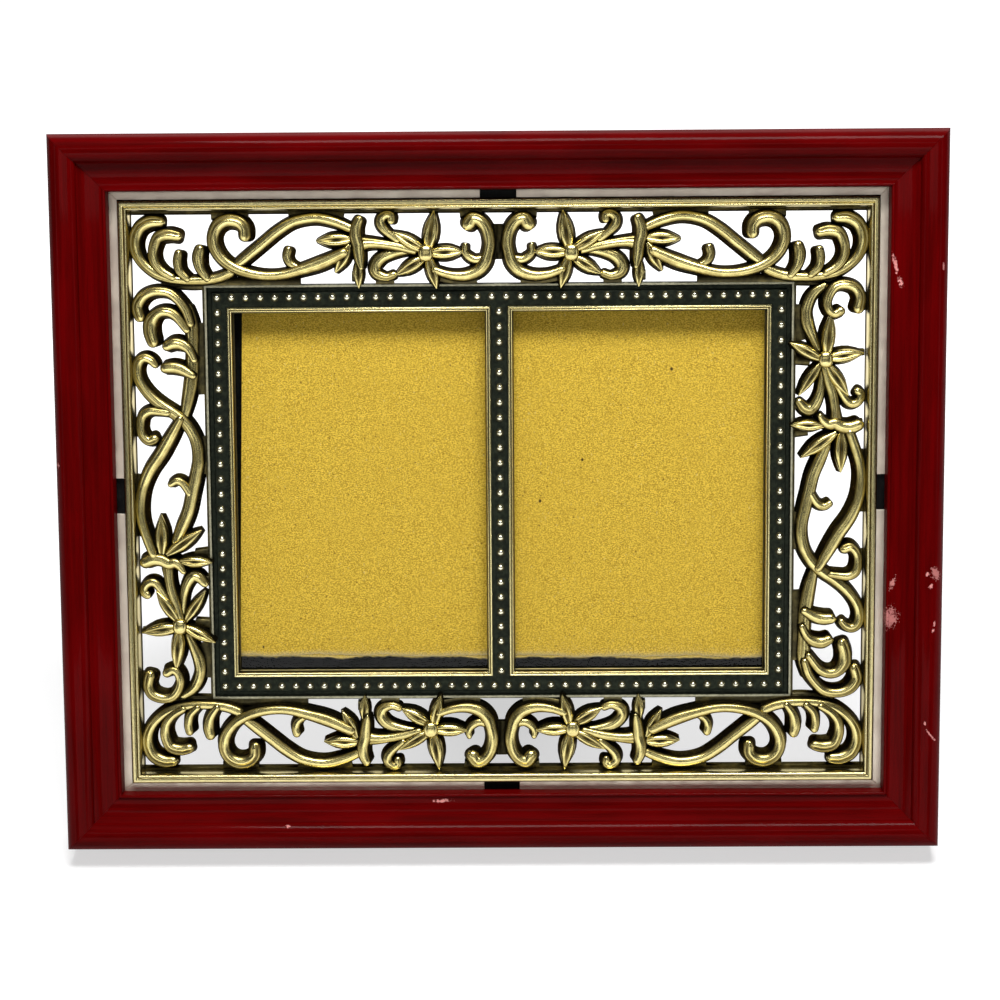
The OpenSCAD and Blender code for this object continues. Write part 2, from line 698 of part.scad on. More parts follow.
module right_filigree() {
    color(brass)
        stand()
            rotate([0, 0, 180])
                side_openwork();
}

// Rows of pearls round both windows and down the divider
module pearls() {
    for (i = [0 : pearl_columns - 1], side = [-1, 1])
        translate([pearl_across * (2 * i / (pearl_columns - 1) - 1), side * pearl_up, ground_z])
            sphere(r = pearl_r, $fn = 24);
    for (i = [1 : pearl_rows - 2], side = [-1, 0, 1])
        translate([side * pearl_across, pearl_up * (2 * i / (pearl_rows - 1) - 1), ground_z])
            sphere(r = pearl_r, $fn = 24);
}

// A box that is centred on the axis of the frame, between two levels
module slab(w, h, low, high) {
    translate([-w / 2, -h / 2, low])
        cube([w, h, high - low]);
}

module at_buttons() {
    for (x = [-button_x, button_x], side = [-1, 1])
        translate([x, side * button_y, 0])
            children();
}

module window_border() {
    groove_out = 2 * border_lip_w;
    groove_in = groove_out + 2 * groove_w;
    color(patina)
        stand()
            difference() {
                union() {
                    difference() {
                        slab(border_w, border_h, 0, border_t);
                        slab(border_w - groove_out, border_h - groove_out,
                            ground_z - groove_depth, border_t + overrun);
                    }
                    slab(border_w - groove_in, border_h - groove_in, 0, ground_z);
                    for (side = [-1, 1])
                        translate([side * window_x, 0, 0])
                            mitred_frame(window_w + 2 * window_bead_w,
                                window_h + 2 * window_bead_w, window_bead_w, border_t + overrun)
                                polygon(concat([[0, glass_seat]],
                                    ridges(0, window_bead_w, ground_z, window_bead_h),
                                    [[window_bead_w, glass_seat]]));
                    pearls();
                }
                for (side = [-1, 1])
                    translate([side * window_x, 0, 0]) {
                        slab(window_w, window_h, -overrun, border_t + overrun);
                        slab(pocket_w, pocket_h, -overrun, glass_seat);
                    }
                slab(board_pocket_w, board_pocket_h, -overrun, web_back);
                at_buttons()
                    translate([0, 0, -overrun])
                        cylinder(r = button_rivet_r + run_fit, h = overrun + button_rivet_l,
                            $fn = 32);
            }
}

module glass(side) {
    color("lightcyan", 0.4)
        stand()
            translate([side * window_x, 0, 0])
                slab(pocket_w - 2 * snug, pocket_h - 2 * snug, web_back, web_back + glass_t);
}

// One sheet of chipboard behind both windows, askew and torn off short along its bottom
module backing_board() {
    steps = 48;
    function torn(t) = tear_depth * (sin(t * 1130) + sin(t * 2470 + 40) + sin(t * 4010)) / 3;
    color(kraft)
        stand()
            translate([board_pocket_w / 2 - free_gap, pocket_h / 2 - free_gap - board_fall,
                    board_back])
                rotate([0, 0, -board_tilt])
                    linear_extrude(board_t)
                        polygon(concat([[0, 0], [-board_w, 0]],
                            [for (i = [0 : steps]) let (t = i / steps)
                                [-(board_w + board_flare) * (1 - t), torn(t) - board_drop]]));
}

// Places of the three rivets in a hinge leaf
module at_rivets() {
    for (share = rivet_shares)
        translate([share * hinge_l, -leaf_h / 2 - knuckle_r, 0])
            children();
}

module back_panel() {
    color(black)
        stand()
            difference() {
                slab(board_pocket_w - 2 * free_gap, board_pocket_h - 2 * free_gap, 0, panel_t);
                translate([0, pin_y, -overrun])
                    at_rivets()
                        cylinder(r = rivet_r + run_fit, h = panel_t + 2 * overrun, $fn = 32);
            }
}

// A hinge leaf on one side of the pin, with every second knuckle from the first one
module hinge_leaf(first) {
    difference() {
        union() {
            translate([-hinge_l / 2, -leaf_h, leg_face - leaf_t])
                cube([hinge_l, leaf_h - leg_face, leaf_t]);
            for (k = [first : 2 : knuckles - 1])
                translate([k * (knuckle_l + knuckle_gap) - hinge_l / 2, 0, 0]) {
                    rotate([0, 90, 0])
                        cylinder(r = knuckle_r, h = knuckle_l, $fn = 40);
                    translate([0, -leg_face - leaf_t, 0])
                        cube([knuckle_l, leg_face + leaf_t, leg_face]);
                }
        }
        translate([-hinge_l / 2 - overrun, 0, 0])
            rotate([0, 90, 0])
                cylinder(r = pin_r + run_fit, h = hinge_l + 2 * overrun, $fn = 40);
        at_rivets()
            cylinder(r = rivet_r + run_fit, h = leg_face + overrun, $fn = 32);
    }
}

module panel_leaf() {
    color(steel)
        on_pin(0)
            hinge_leaf(0);
}

module leg_leaf() {
    color(steel)
        on_pin(leg_open)
            mirror([0, 0, 1])
                hinge_leaf(1);
}

module hinge_pin() {
    color(steel)
        on_pin(0)
            translate([-hinge_l / 2, 0, 0])
                rotate([0, 90, 0]) {
                    cylinder(r = pin_r, h = hinge_l, $fn = 40);
                    for (z = [-rivet_head_h, hinge_l])
                        translate([0, 0, z])
                            cylinder(r = (pin_r + knuckle_r) / 2, h = rivet_head_h, $fn = 40);
                }
}

// Rivet through a leaf and what it holds, with a low round head at each end
module rivet(grip) {
    cylinder(r = rivet_r, h = grip, $fn = 32);
    for (end = [0, 1])
        translate([0, 0, end * grip])
            mirror([0, 0, 1 - end])
                rotate_extrude($fn = 32)
                    polygon(concat([[0, 0]],
                        arc([0, 0], rivet_head_r, rivet_head_h, 0, 90, 5)));
}

module panel_rivets() {
    color(steel)
        on_pin(0)
            at_rivets()
                translate([0, 0, leg_face - leaf_t])
                    rivet(leaf_t + panel_t);
}

module leg_rivets() {
    color(steel)
        on_pin(leg_open)
            at_rivets()
                translate([0, 0, -leg_face - leg_t])
                    rivet(leaf_t + leg_t);
}

// Tapered leg, cut flat where it meets the ground
module easel_leg() {
    foot = leg_reach(leg_back);
    color(black)
        on_pin(leg_open)
            difference() {
                intersection() {
                    translate([0, 0, -leg_back])
                        linear_extrude(leg_t)
                            hull() {
                                for (side = [-1, 1])
                                    translate([side * (leg_top_w / 2 - leg_corner_r),
                                            leg_stop - leg_corner_r])
                                        circle(r = leg_corner_r, $fn = 32);
                                translate([-leg_foot_w / 2, -foot])
                                    square([leg_foot_w, leg_t]);
                            }
                    rotate([90, 0, 90])
                        linear_extrude(leg_foot_w + 2 * overrun, center = true)
                            polygon([[leg_stop + overrun, -leg_face + overrun],
                                [leg_stop + overrun, -leg_back - overrun],
                                [-leg_reach(leg_back + overrun), -leg_back - overrun],
                                [-leg_reach(leg_face - overrun), -leg_face + overrun]]);
                }
                at_rivets()
                    translate([0, 0, -leg_back - overrun])
                        cylinder(r = rivet_r + run_fit, h = leg_t + 2 * overrun, $fn = 32);
            }
}

// Turn button with its pivot at the origin, pointing down, and a finger tab at its tip
module turn_button(x, side) {
    tail = button_l * button_pivot_share;
    reach = button_l - tail;
    color(steel)
        stand()
            translate([x, side * button_y, -snug - button_t])
                mirror([0, side < 0 ? 1 : 0, 0])
                    difference() {
                        union() {
                            linear_extrude(button_t)
                                hull() {
                                    circle(r = button_w / 2, $fn = 40);
                                    translate([0, button_w / 3 - reach])
                                        circle(r = button_w / 3, $fn = 40);
                                }
                            translate([-button_w / 4, -reach + button_w / 3, -button_tab])
                                cube([button_w / 2, button_t, button_tab + button_t]);
                        }
                        translate([0, 0, -overrun])
                            cylinder(r = button_rivet_r + run_fit, h = button_t + 2 * overrun,
                                $fn = 32);
                    }
}

module button_rivets() {
    grip = button_t + snug + run_fit;
    color(steel)
        stand()
            at_buttons() {
                translate([0, 0, -grip])
                    cylinder(r = button_rivet_r, h = grip + button_rivet_l, $fn = 32);
                translate([0, 0, -grip])
                    mirror([0, 0, 1])
                        rotate_extrude($fn = 32)
                            polygon(concat([[0, 0]],
                                arc([0, 0], rivet_head_r, rivet_head_h, 0, 90, 5)));
            }
}

rail(2);  // top_rail
rail(0);  // bottom_rail
rail(3);  // left_rail
rail(1);  // right_rail
corner_nails();
metal_rim();
top_filigree();
bottom_filigree();
left_filigree();
right_filigree();
window_border();
glass(-1);  // left_glass
glass(1);  // right_glass
backing_board();
back_panel();
retaining_clips();
clip_screws();
panel_leaf();
leg_leaf();
hinge_pin();
panel_rivets();
leg_rivets();
easel_leg();
turn_button(-button_x, 1);  // top_left_button
turn_button(button_x, 1);  // top_right_button
turn_button(-button_x, -1);  // bottom_left_button
turn_button(button_x, -1);  // bottom_right_button
button_rivets();
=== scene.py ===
import json
import math
import random

import bmesh
import bpy
import numpy as np
from mathutils import Matrix, Vector


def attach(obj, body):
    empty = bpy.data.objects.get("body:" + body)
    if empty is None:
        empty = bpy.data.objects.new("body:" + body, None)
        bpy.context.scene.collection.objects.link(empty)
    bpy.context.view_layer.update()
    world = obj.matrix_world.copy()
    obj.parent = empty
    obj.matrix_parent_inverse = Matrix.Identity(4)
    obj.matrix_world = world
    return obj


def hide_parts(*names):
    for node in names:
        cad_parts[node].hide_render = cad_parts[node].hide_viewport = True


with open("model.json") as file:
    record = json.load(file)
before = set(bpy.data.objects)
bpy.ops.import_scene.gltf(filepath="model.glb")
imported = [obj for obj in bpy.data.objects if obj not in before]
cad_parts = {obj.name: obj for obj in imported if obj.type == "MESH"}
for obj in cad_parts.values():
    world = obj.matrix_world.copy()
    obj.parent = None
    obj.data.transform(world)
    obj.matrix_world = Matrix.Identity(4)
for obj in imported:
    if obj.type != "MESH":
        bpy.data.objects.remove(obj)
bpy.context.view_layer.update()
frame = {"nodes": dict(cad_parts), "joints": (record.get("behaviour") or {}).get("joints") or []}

# The frame's own plane, in millimetres: X to the right, Y up the face from its middle and
# Z from the back to the front. The hinge pin fixes it in the row frame.
MM = 0.001
BEVEL_ANGLE = math.radians(40)
LEAN = math.radians(18)
PIN_UP = 36.85
PIN_BACK = -1.7
HINGE = next(j for j in frame["joints"] if j["name"] == "easel_hinge")
STAND = (
    Matrix.Translation(Vector(HINGE["pos_m"]))
    @ Matrix.Rotation(math.pi / 2 - LEAN, 4, "X")
    @ Matrix.Scale(MM, 4)
    @ Matrix.Translation((0, -PIN_UP, -PIN_BACK))
)

# Wood moulding
FRAME_W = 206.8
FRAME_H = 168.3
RAIL_W = 13.2
RAIL_DEPTH = 19.0
BEAD_W = 6.8
BEAD_ROLL = 4.2
BEAD_DROP = 2.1
SIGHT_DROP = 3.0
COVE_SAG = 0.5
SIGHT_LIP = 0.4
RABBET_W = 2.4
BACK_EDGE = 0.5
SEAT_GAP = 0.1
MITRE_GAP = 0.03
GRAIN_SHIFT = 311.0

# Metal insert
RIM_GAP = 2.1
RIM_W = 2.3
RIM_FRONT = 13.5
RIM_BACK = 7.0
RIM_RIDGE = 0.6
RIM_EDGE = 0.12
RIDGE_STEPS = 12
RIM_FOOT = 0.28
FLANGE_FRONT = 11.333
FLANGE_T = 1.2
FLANGE_TUCK = 0.2
FLANGE_BEVEL = 0.12
NOTCH_W = 8.4
SIDE_BAND_W = 16.7
TOP_BAND_W = 17.2
OPENWORK_T = 5.6

# Windows and border
WINDOW_W = 59.5
WINDOW_H = 85.7
DIVIDER_W = 6.2
BORDER_SIDE = 6.5
BORDER_T = 9.0
BORDER_LIP = 0.8
GROOVE_W = 1.0
GROOVE_Z = 8.0
GROUND_Z = 8.6
WINDOW_BEAD_W = 1.15
WINDOW_BEAD_H = 0.9
SIDE_WALL = 4.1
END_WALL = 4.5
GLASS_SEAT = 5.8
WEB_BACK = 4.2
WEB_SET = 0.3
WALL_BITE = 0.01
BORDER_EASE = 0.3
PEARL_R = 0.78
PEARL_SIDES = 18
PEARL_COLUMNS = 40
PEARL_ROWS = 27

# Chipboard, back panel and leg
BOARD_W = 125.4
BOARD_BACK = 2.9
BOARD_T = 1.2
BOARD_DROP = 85.116
BOARD_TILT = math.radians(0.9)
BOARD_FLARE = 0.8
BOARD_GAP = 0.3
EDGE_UP = 0.35
EDGE_RISE = 0.9
EDGE_STEPS = 220
TEAR_DEPTH = 0.5
FACE_PLY = 0.22
FACE_SHORT = 0.75
PANEL_T = 2.0
PANEL_BEVEL = 0.45
LEG_OPEN = math.radians(36)
LEG_FACE = 1.7
LEG_T = 3.0
LEG_TOP = 4.72
LEG_TOP_W = 30.0
LEG_FOOT_W = 46.0
LEG_CORNER = 2.0
LEG_BEVEL = 0.5
LEG_REACH_FACE = 121.0
LEG_REACH_BACK = 121.98

# Sizes that follow from these
WINDOW_X = (WINDOW_W + DIVIDER_W) / 2
BORDER_W = 2 * WINDOW_W + DIVIDER_W + 2 * BORDER_SIDE
BORDER_H = WINDOW_H + 2 * BORDER_SIDE
OPENING_W = BORDER_W + 2 * SIDE_BAND_W
OPENING_H = BORDER_H + 2 * TOP_BAND_W
RIM_OUT_W = OPENING_W + 2 * RIM_W
RIM_OUT_H = OPENING_H + 2 * RIM_W
POCKET_W = BORDER_W - 2 * SIDE_WALL
POCKET_H = BORDER_H - 2 * END_WALL
WALL_W = RAIL_W - RABBET_W


class Shape:
    """Points, faces and wear that become one mesh. Wear is 1 where a surface is rubbed bright; on
    the rim's inner wall it also paints a highlight on metal that lies in shade.
    """

    def __init__(self):
        self.points = []
        self.faces = []
        self.wear = []

    def add(self, points, faces, wear):
        start = len(self.points)
        self.points += [tuple(p) for p in points]
        self.faces += [tuple(start + i for i in face) for face in faces]
        self.wear += list(wear)


def grid_faces(rings, width, closed_run):
    """Quads between closed rings of the same number of points."""
    faces = []
    for i in range(rings if closed_run else rings - 1):
        for k in range(width):
            a, b = i * width + k, i * width + (k + 1) % width
            c, d = (i + 1) % rings * width + (k + 1) % width, (i + 1) % rings * width + k
            faces.append((a, b, c, d))
    return faces


def loft(shape, rings, wear):
    """A closed tube through rings of points, with both its ends closed."""
    width = len(rings[0])
    last = (len(rings) - 1) * width
    faces = grid_faces(len(rings), width, False)
    faces += [tuple(range(width)), tuple(last + k for k in range(width))]
    shape.add([p for ring in rings for p in ring], faces, wear)


def arc(centre, across, up, start, end, steps):
    """Points of an elliptic arc between two angles in degrees."""
    angles = [math.radians(start + (end - start) * i / steps) for i in range(steps + 1)]
    return [(centre[0] + across * math.cos(a), centre[1] + up * math.sin(a)) for a in angles]


def placed(points, matrix=STAND):
    """Points of the frame's own plane in the row frame, in metres."""
    m = np.array(matrix)
    return np.array(points, float) @ m[:3, :3].T + m[:3, 3]


def add_object(name, data):
    """A new object in the scene."""
    made = bpy.data.objects.new(name, data)
    bpy.context.scene.collection.objects.link(made)
    return made


def make_piece(
    name, shape, look, replaces=(), body="frame", matrix=STAND, sharp=38, uvs=None
):
    """One mesh piece that rides on a body, with outward faces and crisp edges kept."""
    mesh = bpy.data.meshes.new(name)
    mesh.from_pydata([tuple(p) for p in placed(shape.points, matrix)], [], shape.faces)
    mesh.attributes.new("wear", "FLOAT", "POINT").data.foreach_set("value", shape.wear)
    if uvs is not None:
        layer = mesh.uv_layers.new(name="grain")
        for loop in mesh.loops:
            layer.data[loop.index].uv = uvs[loop.vertex_index]
    soft = bmesh.new()
    soft.from_mesh(mesh)
    bmesh.ops.recalc_face_normals(soft, faces=soft.faces)
    soft.to_mesh(mesh)
    soft.free()
    mesh.polygons.foreach_set("use_smooth", [True] * len(mesh.polygons))
    mesh.set_sharp_from_angle(angle=math.radians(sharp))
    mesh.materials.append(look)
    piece = add_object(name, mesh)
    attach(piece, body)
    if replaces:
        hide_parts(*replaces)
    return piece


def bevel(piece, width, segments=3):
    """Small round edges all over a rigid piece."""
    edges = piece.modifiers.new("edges", "BEVEL")
    edges.width = width * MM
    edges.segments = segments
    edges.limit_method = "ANGLE"
    edges.angle_limit = BEVEL_ANGLE
    edges.harden_normals = True


class Nodes:
    """Adds nodes to a tree and links them. Colours are given as linear red, green and blue."""

    def __init__(self, tree):
        self.tree = tree

    def node(self, kind, inputs=(), **settings):
        made = self.tree.nodes.new(kind)
        for key, value in settings.items():
            setattr(made, key, value)
        for key, value in dict(inputs).items():
            self.put(made.inputs[key], value)
        return made

    def put(self, socket, value):
        if isinstance(value, bpy.types.NodeSocket):
            self.tree.links.new(value, socket)
        else:
            socket.default_value = (*value, 1.0) if socket.type == "RGBA" else value

    def math(self, operation, a, b=0.0):
        return self.node("ShaderNodeMath", {0: a, 1: b}, operation=operation).outputs[0]


class Look(Nodes):
    """Builds the nodes of one procedural material, with coordinates in the frame's millimetres."""

    def __init__(self, name):
        self.material = bpy.data.materials.new(name)
        self.material.use_nodes = True
        super().__init__(self.material.node_tree)
        self.shader = self.tree.nodes["Principled BSDF"]
        self.output = self.tree.nodes["Material Output"]

    def set(self, **values):
        for key, value in values.items():
            self.put(self.shader.inputs[key.replace("_", " ")], value)

    def frame_mm(self):
        """Place on the object at rest, in the frame's own plane and millimetres."""
        turn = STAND.inverted()
        inputs = {
            "Vector": self.node("ShaderNodeTexCoord").outputs["Object"],
            "Location": turn.to_translation(),
            "Rotation": turn.to_3x3().normalized().to_euler(),
            "Scale": (1 / MM, 1 / MM, 1 / MM),
        }
        return self.node("ShaderNodeMapping", inputs).outputs["Vector"]

    def grain_uv(self):
        return self.node("ShaderNodeUVMap", uv_map="grain").outputs["UV"]

    def stretched(self, vector, x, y, z):
        """Coordinates scaled along each axis, so that noise on them is drawn out."""
        return self.node(
            "ShaderNodeVectorMath", {0: vector, 1: (x, y, z)}, operation="MULTIPLY"
        ).outputs["Vector"]

    def noise(self, vector, size, detail=3.0, rough=0.55, distortion=0.0):
        """Noise whose blobs are about size across."""
        inputs = {
            "Vector": vector, "Scale": 1 / size, "Detail": detail, "Roughness": rough,
            "Distortion": distortion,
        }
        return self.node("ShaderNodeTexNoise", inputs).outputs["Fac"]

    def spots(self, vector, size):
        """Distance from the nearest of many scattered points."""
        return self.node(
            "ShaderNodeTexVoronoi", {"Vector": vector, "Scale": 1 / size}
        ).outputs["Distance"]

    def ramp(self, value, low, high, start=0.0, end=1.0):
        """A smooth step from start, where value is low, to end, where it is high."""
        return self.node(
            "ShaderNodeMapRange",
            {"Value": value, "From Min": low, "From Max": high, "To Min": start, "To Max": end},
            interpolation_type="SMOOTHSTEP",
        ).outputs["Result"]

    def mix(self, share, a, b):
        made = self.node("ShaderNodeMix", data_type="RGBA")
        for key, value in (("Factor_Float", share), ("A_Color", a), ("B_Color", b)):
            socket = next(s for s in made.inputs if s.identifier == key)
            self.put(socket, value)
        return next(s for s in made.outputs if s.identifier == "Result_Color")

    def over(self, base, top, value, low, high, most=1.0):
        """One colour laid over another as value goes from low to high."""
        return self.mix(self.ramp(value, low, high, 0.0, most), base, top)

    def wear(self):
        return self.node("ShaderNodeAttribute", attribute_name="wear").outputs["Fac"]

    def bump(self, height, depth):
        """Surface relief whose full height is depth millimetres."""
        made = self.node(
            "ShaderNodeBump", {"Height": height, "Distance": depth * MM, "Strength": 1.0}
        )
        self.put(self.shader.inputs["Normal"], made.outputs["Normal"])


def antique_brass(
    name="antique_brass", bright=(0.76, 0.655, 0.27), mid=(0.33, 0.262, 0.088), unrest=0.11
):
    """Cast brass, rubbed bright on its crowns and left dark in its hollows."""
    look = Look(name)
    at = look.frame_mm()
    patches = look.noise(at, 2.6, 3)
    grain = look.noise(at, 0.2, 2)
    rubbed = look.math("ADD", look.wear(), look.ramp(patches, 0.3, 0.7, -unrest, unrest))
    dark_to_mid = look.ramp(rubbed, 0.03, 0.5)
    mid_to_bright = look.ramp(rubbed, 0.55, 1.02)
    patina = look.mix(look.noise(at, 0.8), (0.028, 0.025, 0.014), (0.085, 0.072, 0.034))
    base = look.mix(dark_to_mid, patina, mid)
    look.set(
        Base_Color=look.mix(mid_to_bright, base, bright),
        Metallic=1.0,
        Specular_Tint=look.mix(dark_to_mid, (0.22, 0.18, 0.10), (1.0, 0.95, 0.8)),
        Roughness=look.math(
            "ADD", look.ramp(rubbed, 0.1, 0.9, 0.42, 0.24), look.ramp(grain, 0.3, 0.7, -0.02, 0.03)
        ),
    )
    look.bump(look.math("ADD", grain, look.math("MULTIPLY", patches, 1.5)), 0.008)
    return look.material


def border_patina():
    """Blackened metal of the beaded ground, with a green cast and faint bright specks."""
    look = Look("dark_patina")
    at = look.frame_mm()
    mottle = look.noise(at, 0.9, 4, 0.65)
    grit = look.noise(at, 0.12, 2)
    rubbed = look.math("ADD", look.wear(), look.ramp(mottle, 0.35, 0.75, -0.1, 0.16))
    ground = look.over((0.009, 0.012, 0.008), (0.026, 0.032, 0.020), mottle, 0.35, 0.7)
    look.set(
        Base_Color=look.over(ground, (0.50, 0.48, 0.33), rubbed, 0.3, 0.95),
        Metallic=0.85,
        Roughness=look.ramp(grit, 0.3, 0.7, 0.34, 0.52),
    )
    look.bump(grit, 0.03)
    return look.material


def pewter_flange():
    """Satin grey metal of the strip between the rim and the wood, with fine drawing marks."""
    look = Look("pewter_flange")
    at = look.frame_mm()
    long_marks = look.noise(look.stretched(at, 0.12, 0.12, 1.0), 0.35, 3)
    patches = look.noise(at, 9.0, 3)
    look.set(
        Base_Color=look.over((0.80, 0.69, 0.57), (0.95, 0.85, 0.70), patches, 0.3, 0.7),
        Metallic=0.85,
        Roughness=look.ramp(long_marks, 0.3, 0.7, 0.34, 0.48),
    )
    look.bump(long_marks, 0.01)
    return look.material


# Chips and rubs in the lacquer: middle, half width, half length, turn in degrees and strength,
# read off the photograph in the frame's own plane
MARKS = [
    ((91.2, 53.3), 0.42, 2.1, 14, 1.0),
    ((92.5, 49.2), 0.48, 1.2, 18, 1.0),
    ((91.3, -29.2), 1.6, 2.2, -4, 0.62),
    ((91.6, -21.0), 1.5, 0.5, 70, 0.7),
    ((101.2, -18.4), 0.9, 1.4, 30, 0.62),
    ((99.2, -18.3), 0.5, 0.4, 60, 1.0),
    ((100.0, -21.2), 0.5, 0.35, 50, 1.0),
    ((101.0, -30.2), 0.75, 0.22, 80, 0.9),
    ((100.8, -31.6), 0.45, 0.28, 70, 1.0),
    ((100.6, -56.6), 0.22, 1.6, 40, 0.9),
    ((99.2, -53.7), 0.25, 0.4, 20, 0.9),
    ((-14.0, -72.6), 2.0, 0.42, 4, 1.0),
    ((-50.5, -78.0), 0.5, 0.3, 0, 0.8),
    ((101.8, 52.8), 0.25, 0.7, 5, 0.6),
    ((-102.4, 8.0), 0.3, 0.5, 0, 0.7),
]


def lacquer_marks(look, at):
    """How much bare primer shows through the lacquer."""
    ragged = look.noise(at, 0.55, 4, 0.7)
    total = None
    for (x, y), half_w, half_l, turn, strength in MARKS:
        inputs = {
            "Vector": at, "Location": (x, y, RAIL_DEPTH), "Rotation": (0, 0, math.radians(turn)),
            "Scale": (half_w, half_l, 9.0),
        }
        near = look.node("ShaderNodeMapping", inputs, vector_type="TEXTURE").outputs["Vector"]
        distance = look.node(
            "ShaderNodeVectorMath", {0: near}, operation="LENGTH"
        ).outputs["Value"]
        frayed = look.math("ADD", distance, look.ramp(ragged, 0.25, 0.75, -0.75, 0.75))
        mark = look.ramp(frayed, 1.15, 0.75, 0.0, strength)
        total = mark if total is None else look.math("MAXIMUM", total, mark)
    return total


def cherry_lacquer():
    """Deep cherry stain under gloss lacquer, with fine grain, rubs and chips."""
    look = Look("lacquered_wood")
    at = look.frame_mm()
    along = look.grain_uv()
    streaks = look.noise(look.stretched(along, 0.035, 1.0, 1.0), 1.1, 5, 0.6, 0.4)
    pores = look.noise(look.stretched(along, 0.12, 1.6, 1.0), 0.32, 2)
    clouds = look.noise(look.stretched(along, 0.4, 1.0, 1.0), 11.0, 2)
    stain = look.over((0.068, 0.0002, 0.0003), (0.112, 0.0003, 0.0006), streaks, 0.3, 0.72)
    stain = look.over(stain, (0.135, 0.0003, 0.0010), clouds, 0.42, 0.7, 0.55)
    stain = look.over(stain, (0.025, 0.001, 0.001), pores, 0.6, 0.78, 0.45)
    bare = lacquer_marks(look, at)
    look.set(
        Base_Color=look.mix(bare, stain, (0.78, 0.30, 0.28)),
        Roughness=look.ramp(bare, 0.0, 1.0, 0.45, 0.7),
        Coat_Weight=look.ramp(bare, 0.0, 0.8, 0.06, 0.03),
        Coat_Roughness=0.06,
        Coat_IOR=1.45,
        Specular_IOR_Level=0.01,
    )
    ripple = look.noise(look.stretched(along, 0.35, 1.0, 1.0), 2.6, 2)
    relief = look.math("SUBTRACT", look.math("MULTIPLY", ripple, 0.35), bare)
    look.bump(relief, 0.05)
    return look.material


def kraft_board():
    """Unbleached chipboard, with fine fibre, pale flecks and dark specks."""
    look = Look("kraft_board")
    at = look.frame_mm()
    fibres = look.noise(look.stretched(at, 0.7, 1.0, 1.0), 0.26, 4, 0.75)
    clouds = look.noise(at, 7.0, 3)
    flecks = look.noise(look.stretched(at, 1.0, 0.5, 1.0), 0.5, 1)
    specks = look.spots(at, 2.7)
    large = look.spots(look.stretched(at, 1.0, 0.8, 1.0), 9.0)
    base = look.over((0.41, 0.22, 0.013), (1.0, 0.68, 0.09), fibres, 0.38, 0.62)
    base = look.over(base, (0.72, 0.45, 0.05), clouds, 0.3, 0.75, 0.35)
    base = look.over(base, (0.80, 0.62, 0.25), flecks, 0.66, 0.8, 0.5)
    base = look.over(base, (0.16, 0.075, 0.012), specks, 0.11, 0.05, 0.7)
    base = look.over(base, (0.06, 0.03, 0.01), large, 0.045, 0.03, 0.95)
    look.set(
        Base_Color=look.mix(look.wear(), base, (0.80, 0.64, 0.34)),
        Roughness=look.ramp(fibres, 0.3, 0.7, 0.8, 0.95),
        Specular_IOR_Level=0.2,
    )
    look.bump(fibres, 0.06)
    return look.material


def black_board(name, base, light, weave):
    """Black paper over board, with a fine linen emboss and an uneven sheen."""
    look = Look(name)
    at = look.frame_mm()
    cross = look.math(
        "MAXIMUM",
        look.noise(look.stretched(at, 0.18, 1.0, 1.0), weave, 2),
        look.noise(look.stretched(at, 1.0, 0.18, 1.0), weave, 2),
    )
    sheen = look.noise(at, 6.0, 4, 0.65)
    look.set(
        Base_Color=look.over(base, light, cross, 0.45, 0.75),
        Roughness=look.ramp(sheen, 0.3, 0.7, 0.62, 0.82),
        Specular_IOR_Level=0.1,
    )
    look.bump(cross, 0.06)
    return look.material


def coated_steel():
    """Black coated spring steel, rubbed a little grey."""
    look = Look("black_steel")
    at = look.frame_mm()
    rub = look.noise(at, 1.2, 4, 0.6)
    look.set(
        Base_Color=look.over((0.003, 0.003, 0.003), (0.014, 0.014, 0.014), rub, 0.5, 0.8),
        Metallic=0.3,
        Specular_IOR_Level=0.2,
        Roughness=look.ramp(rub, 0.3, 0.7, 0.4, 0.58),
    )
    look.bump(look.noise(at, 0.25, 2), 0.01)
    return look.material


def bright_steel():
    """Zinc plated steel with rolling marks and slight stains."""
    look = Look("bright_steel")
    at = look.frame_mm()
    marks = look.noise(look.stretched(at, 0.1, 1.0, 1.0), 0.3, 3)
    stains = look.noise(at, 2.2, 3)
    look.set(
        Base_Color=look.over((0.42, 0.42, 0.41), (0.66, 0.66, 0.64), stains, 0.35, 0.7),
        Metallic=1.0,
        Roughness=look.ramp(marks, 0.3, 0.7, 0.24, 0.42),
    )
    look.bump(marks, 0.01)
    return look.material


def clear_glass():
    """Thin clear pane that lets light straight through and keeps a faint sheen."""
    look = Look("clear_glass")
    at = look.frame_mm()
    smear = look.noise(at, 14.0, 3)
    clear = look.node("ShaderNodeBsdfTransparent", {"Color": (0.97, 0.985, 0.975)})
    sheen = look.node(
        "ShaderNodeBsdfGlossy", {"Roughness": look.ramp(smear, 0.4, 0.7, 0.02, 0.06)}
    )
    facing = look.node("ShaderNodeFresnel", {"IOR": 1.3}).outputs["Fac"]
    inside = look.node("ShaderNodeNewGeometry").outputs["Backfacing"]
    share = look.math("MULTIPLY", facing, look.math("SUBTRACT", 1.0, inside))
    mixed = look.node(
        "ShaderNodeMixShader", {"Fac": share, 1: clear.outputs["BSDF"], 2: sheen.outputs["BSDF"]}
    )
    look.put(look.output.inputs["Surface"], mixed.outputs["Shader"])
    return look.material


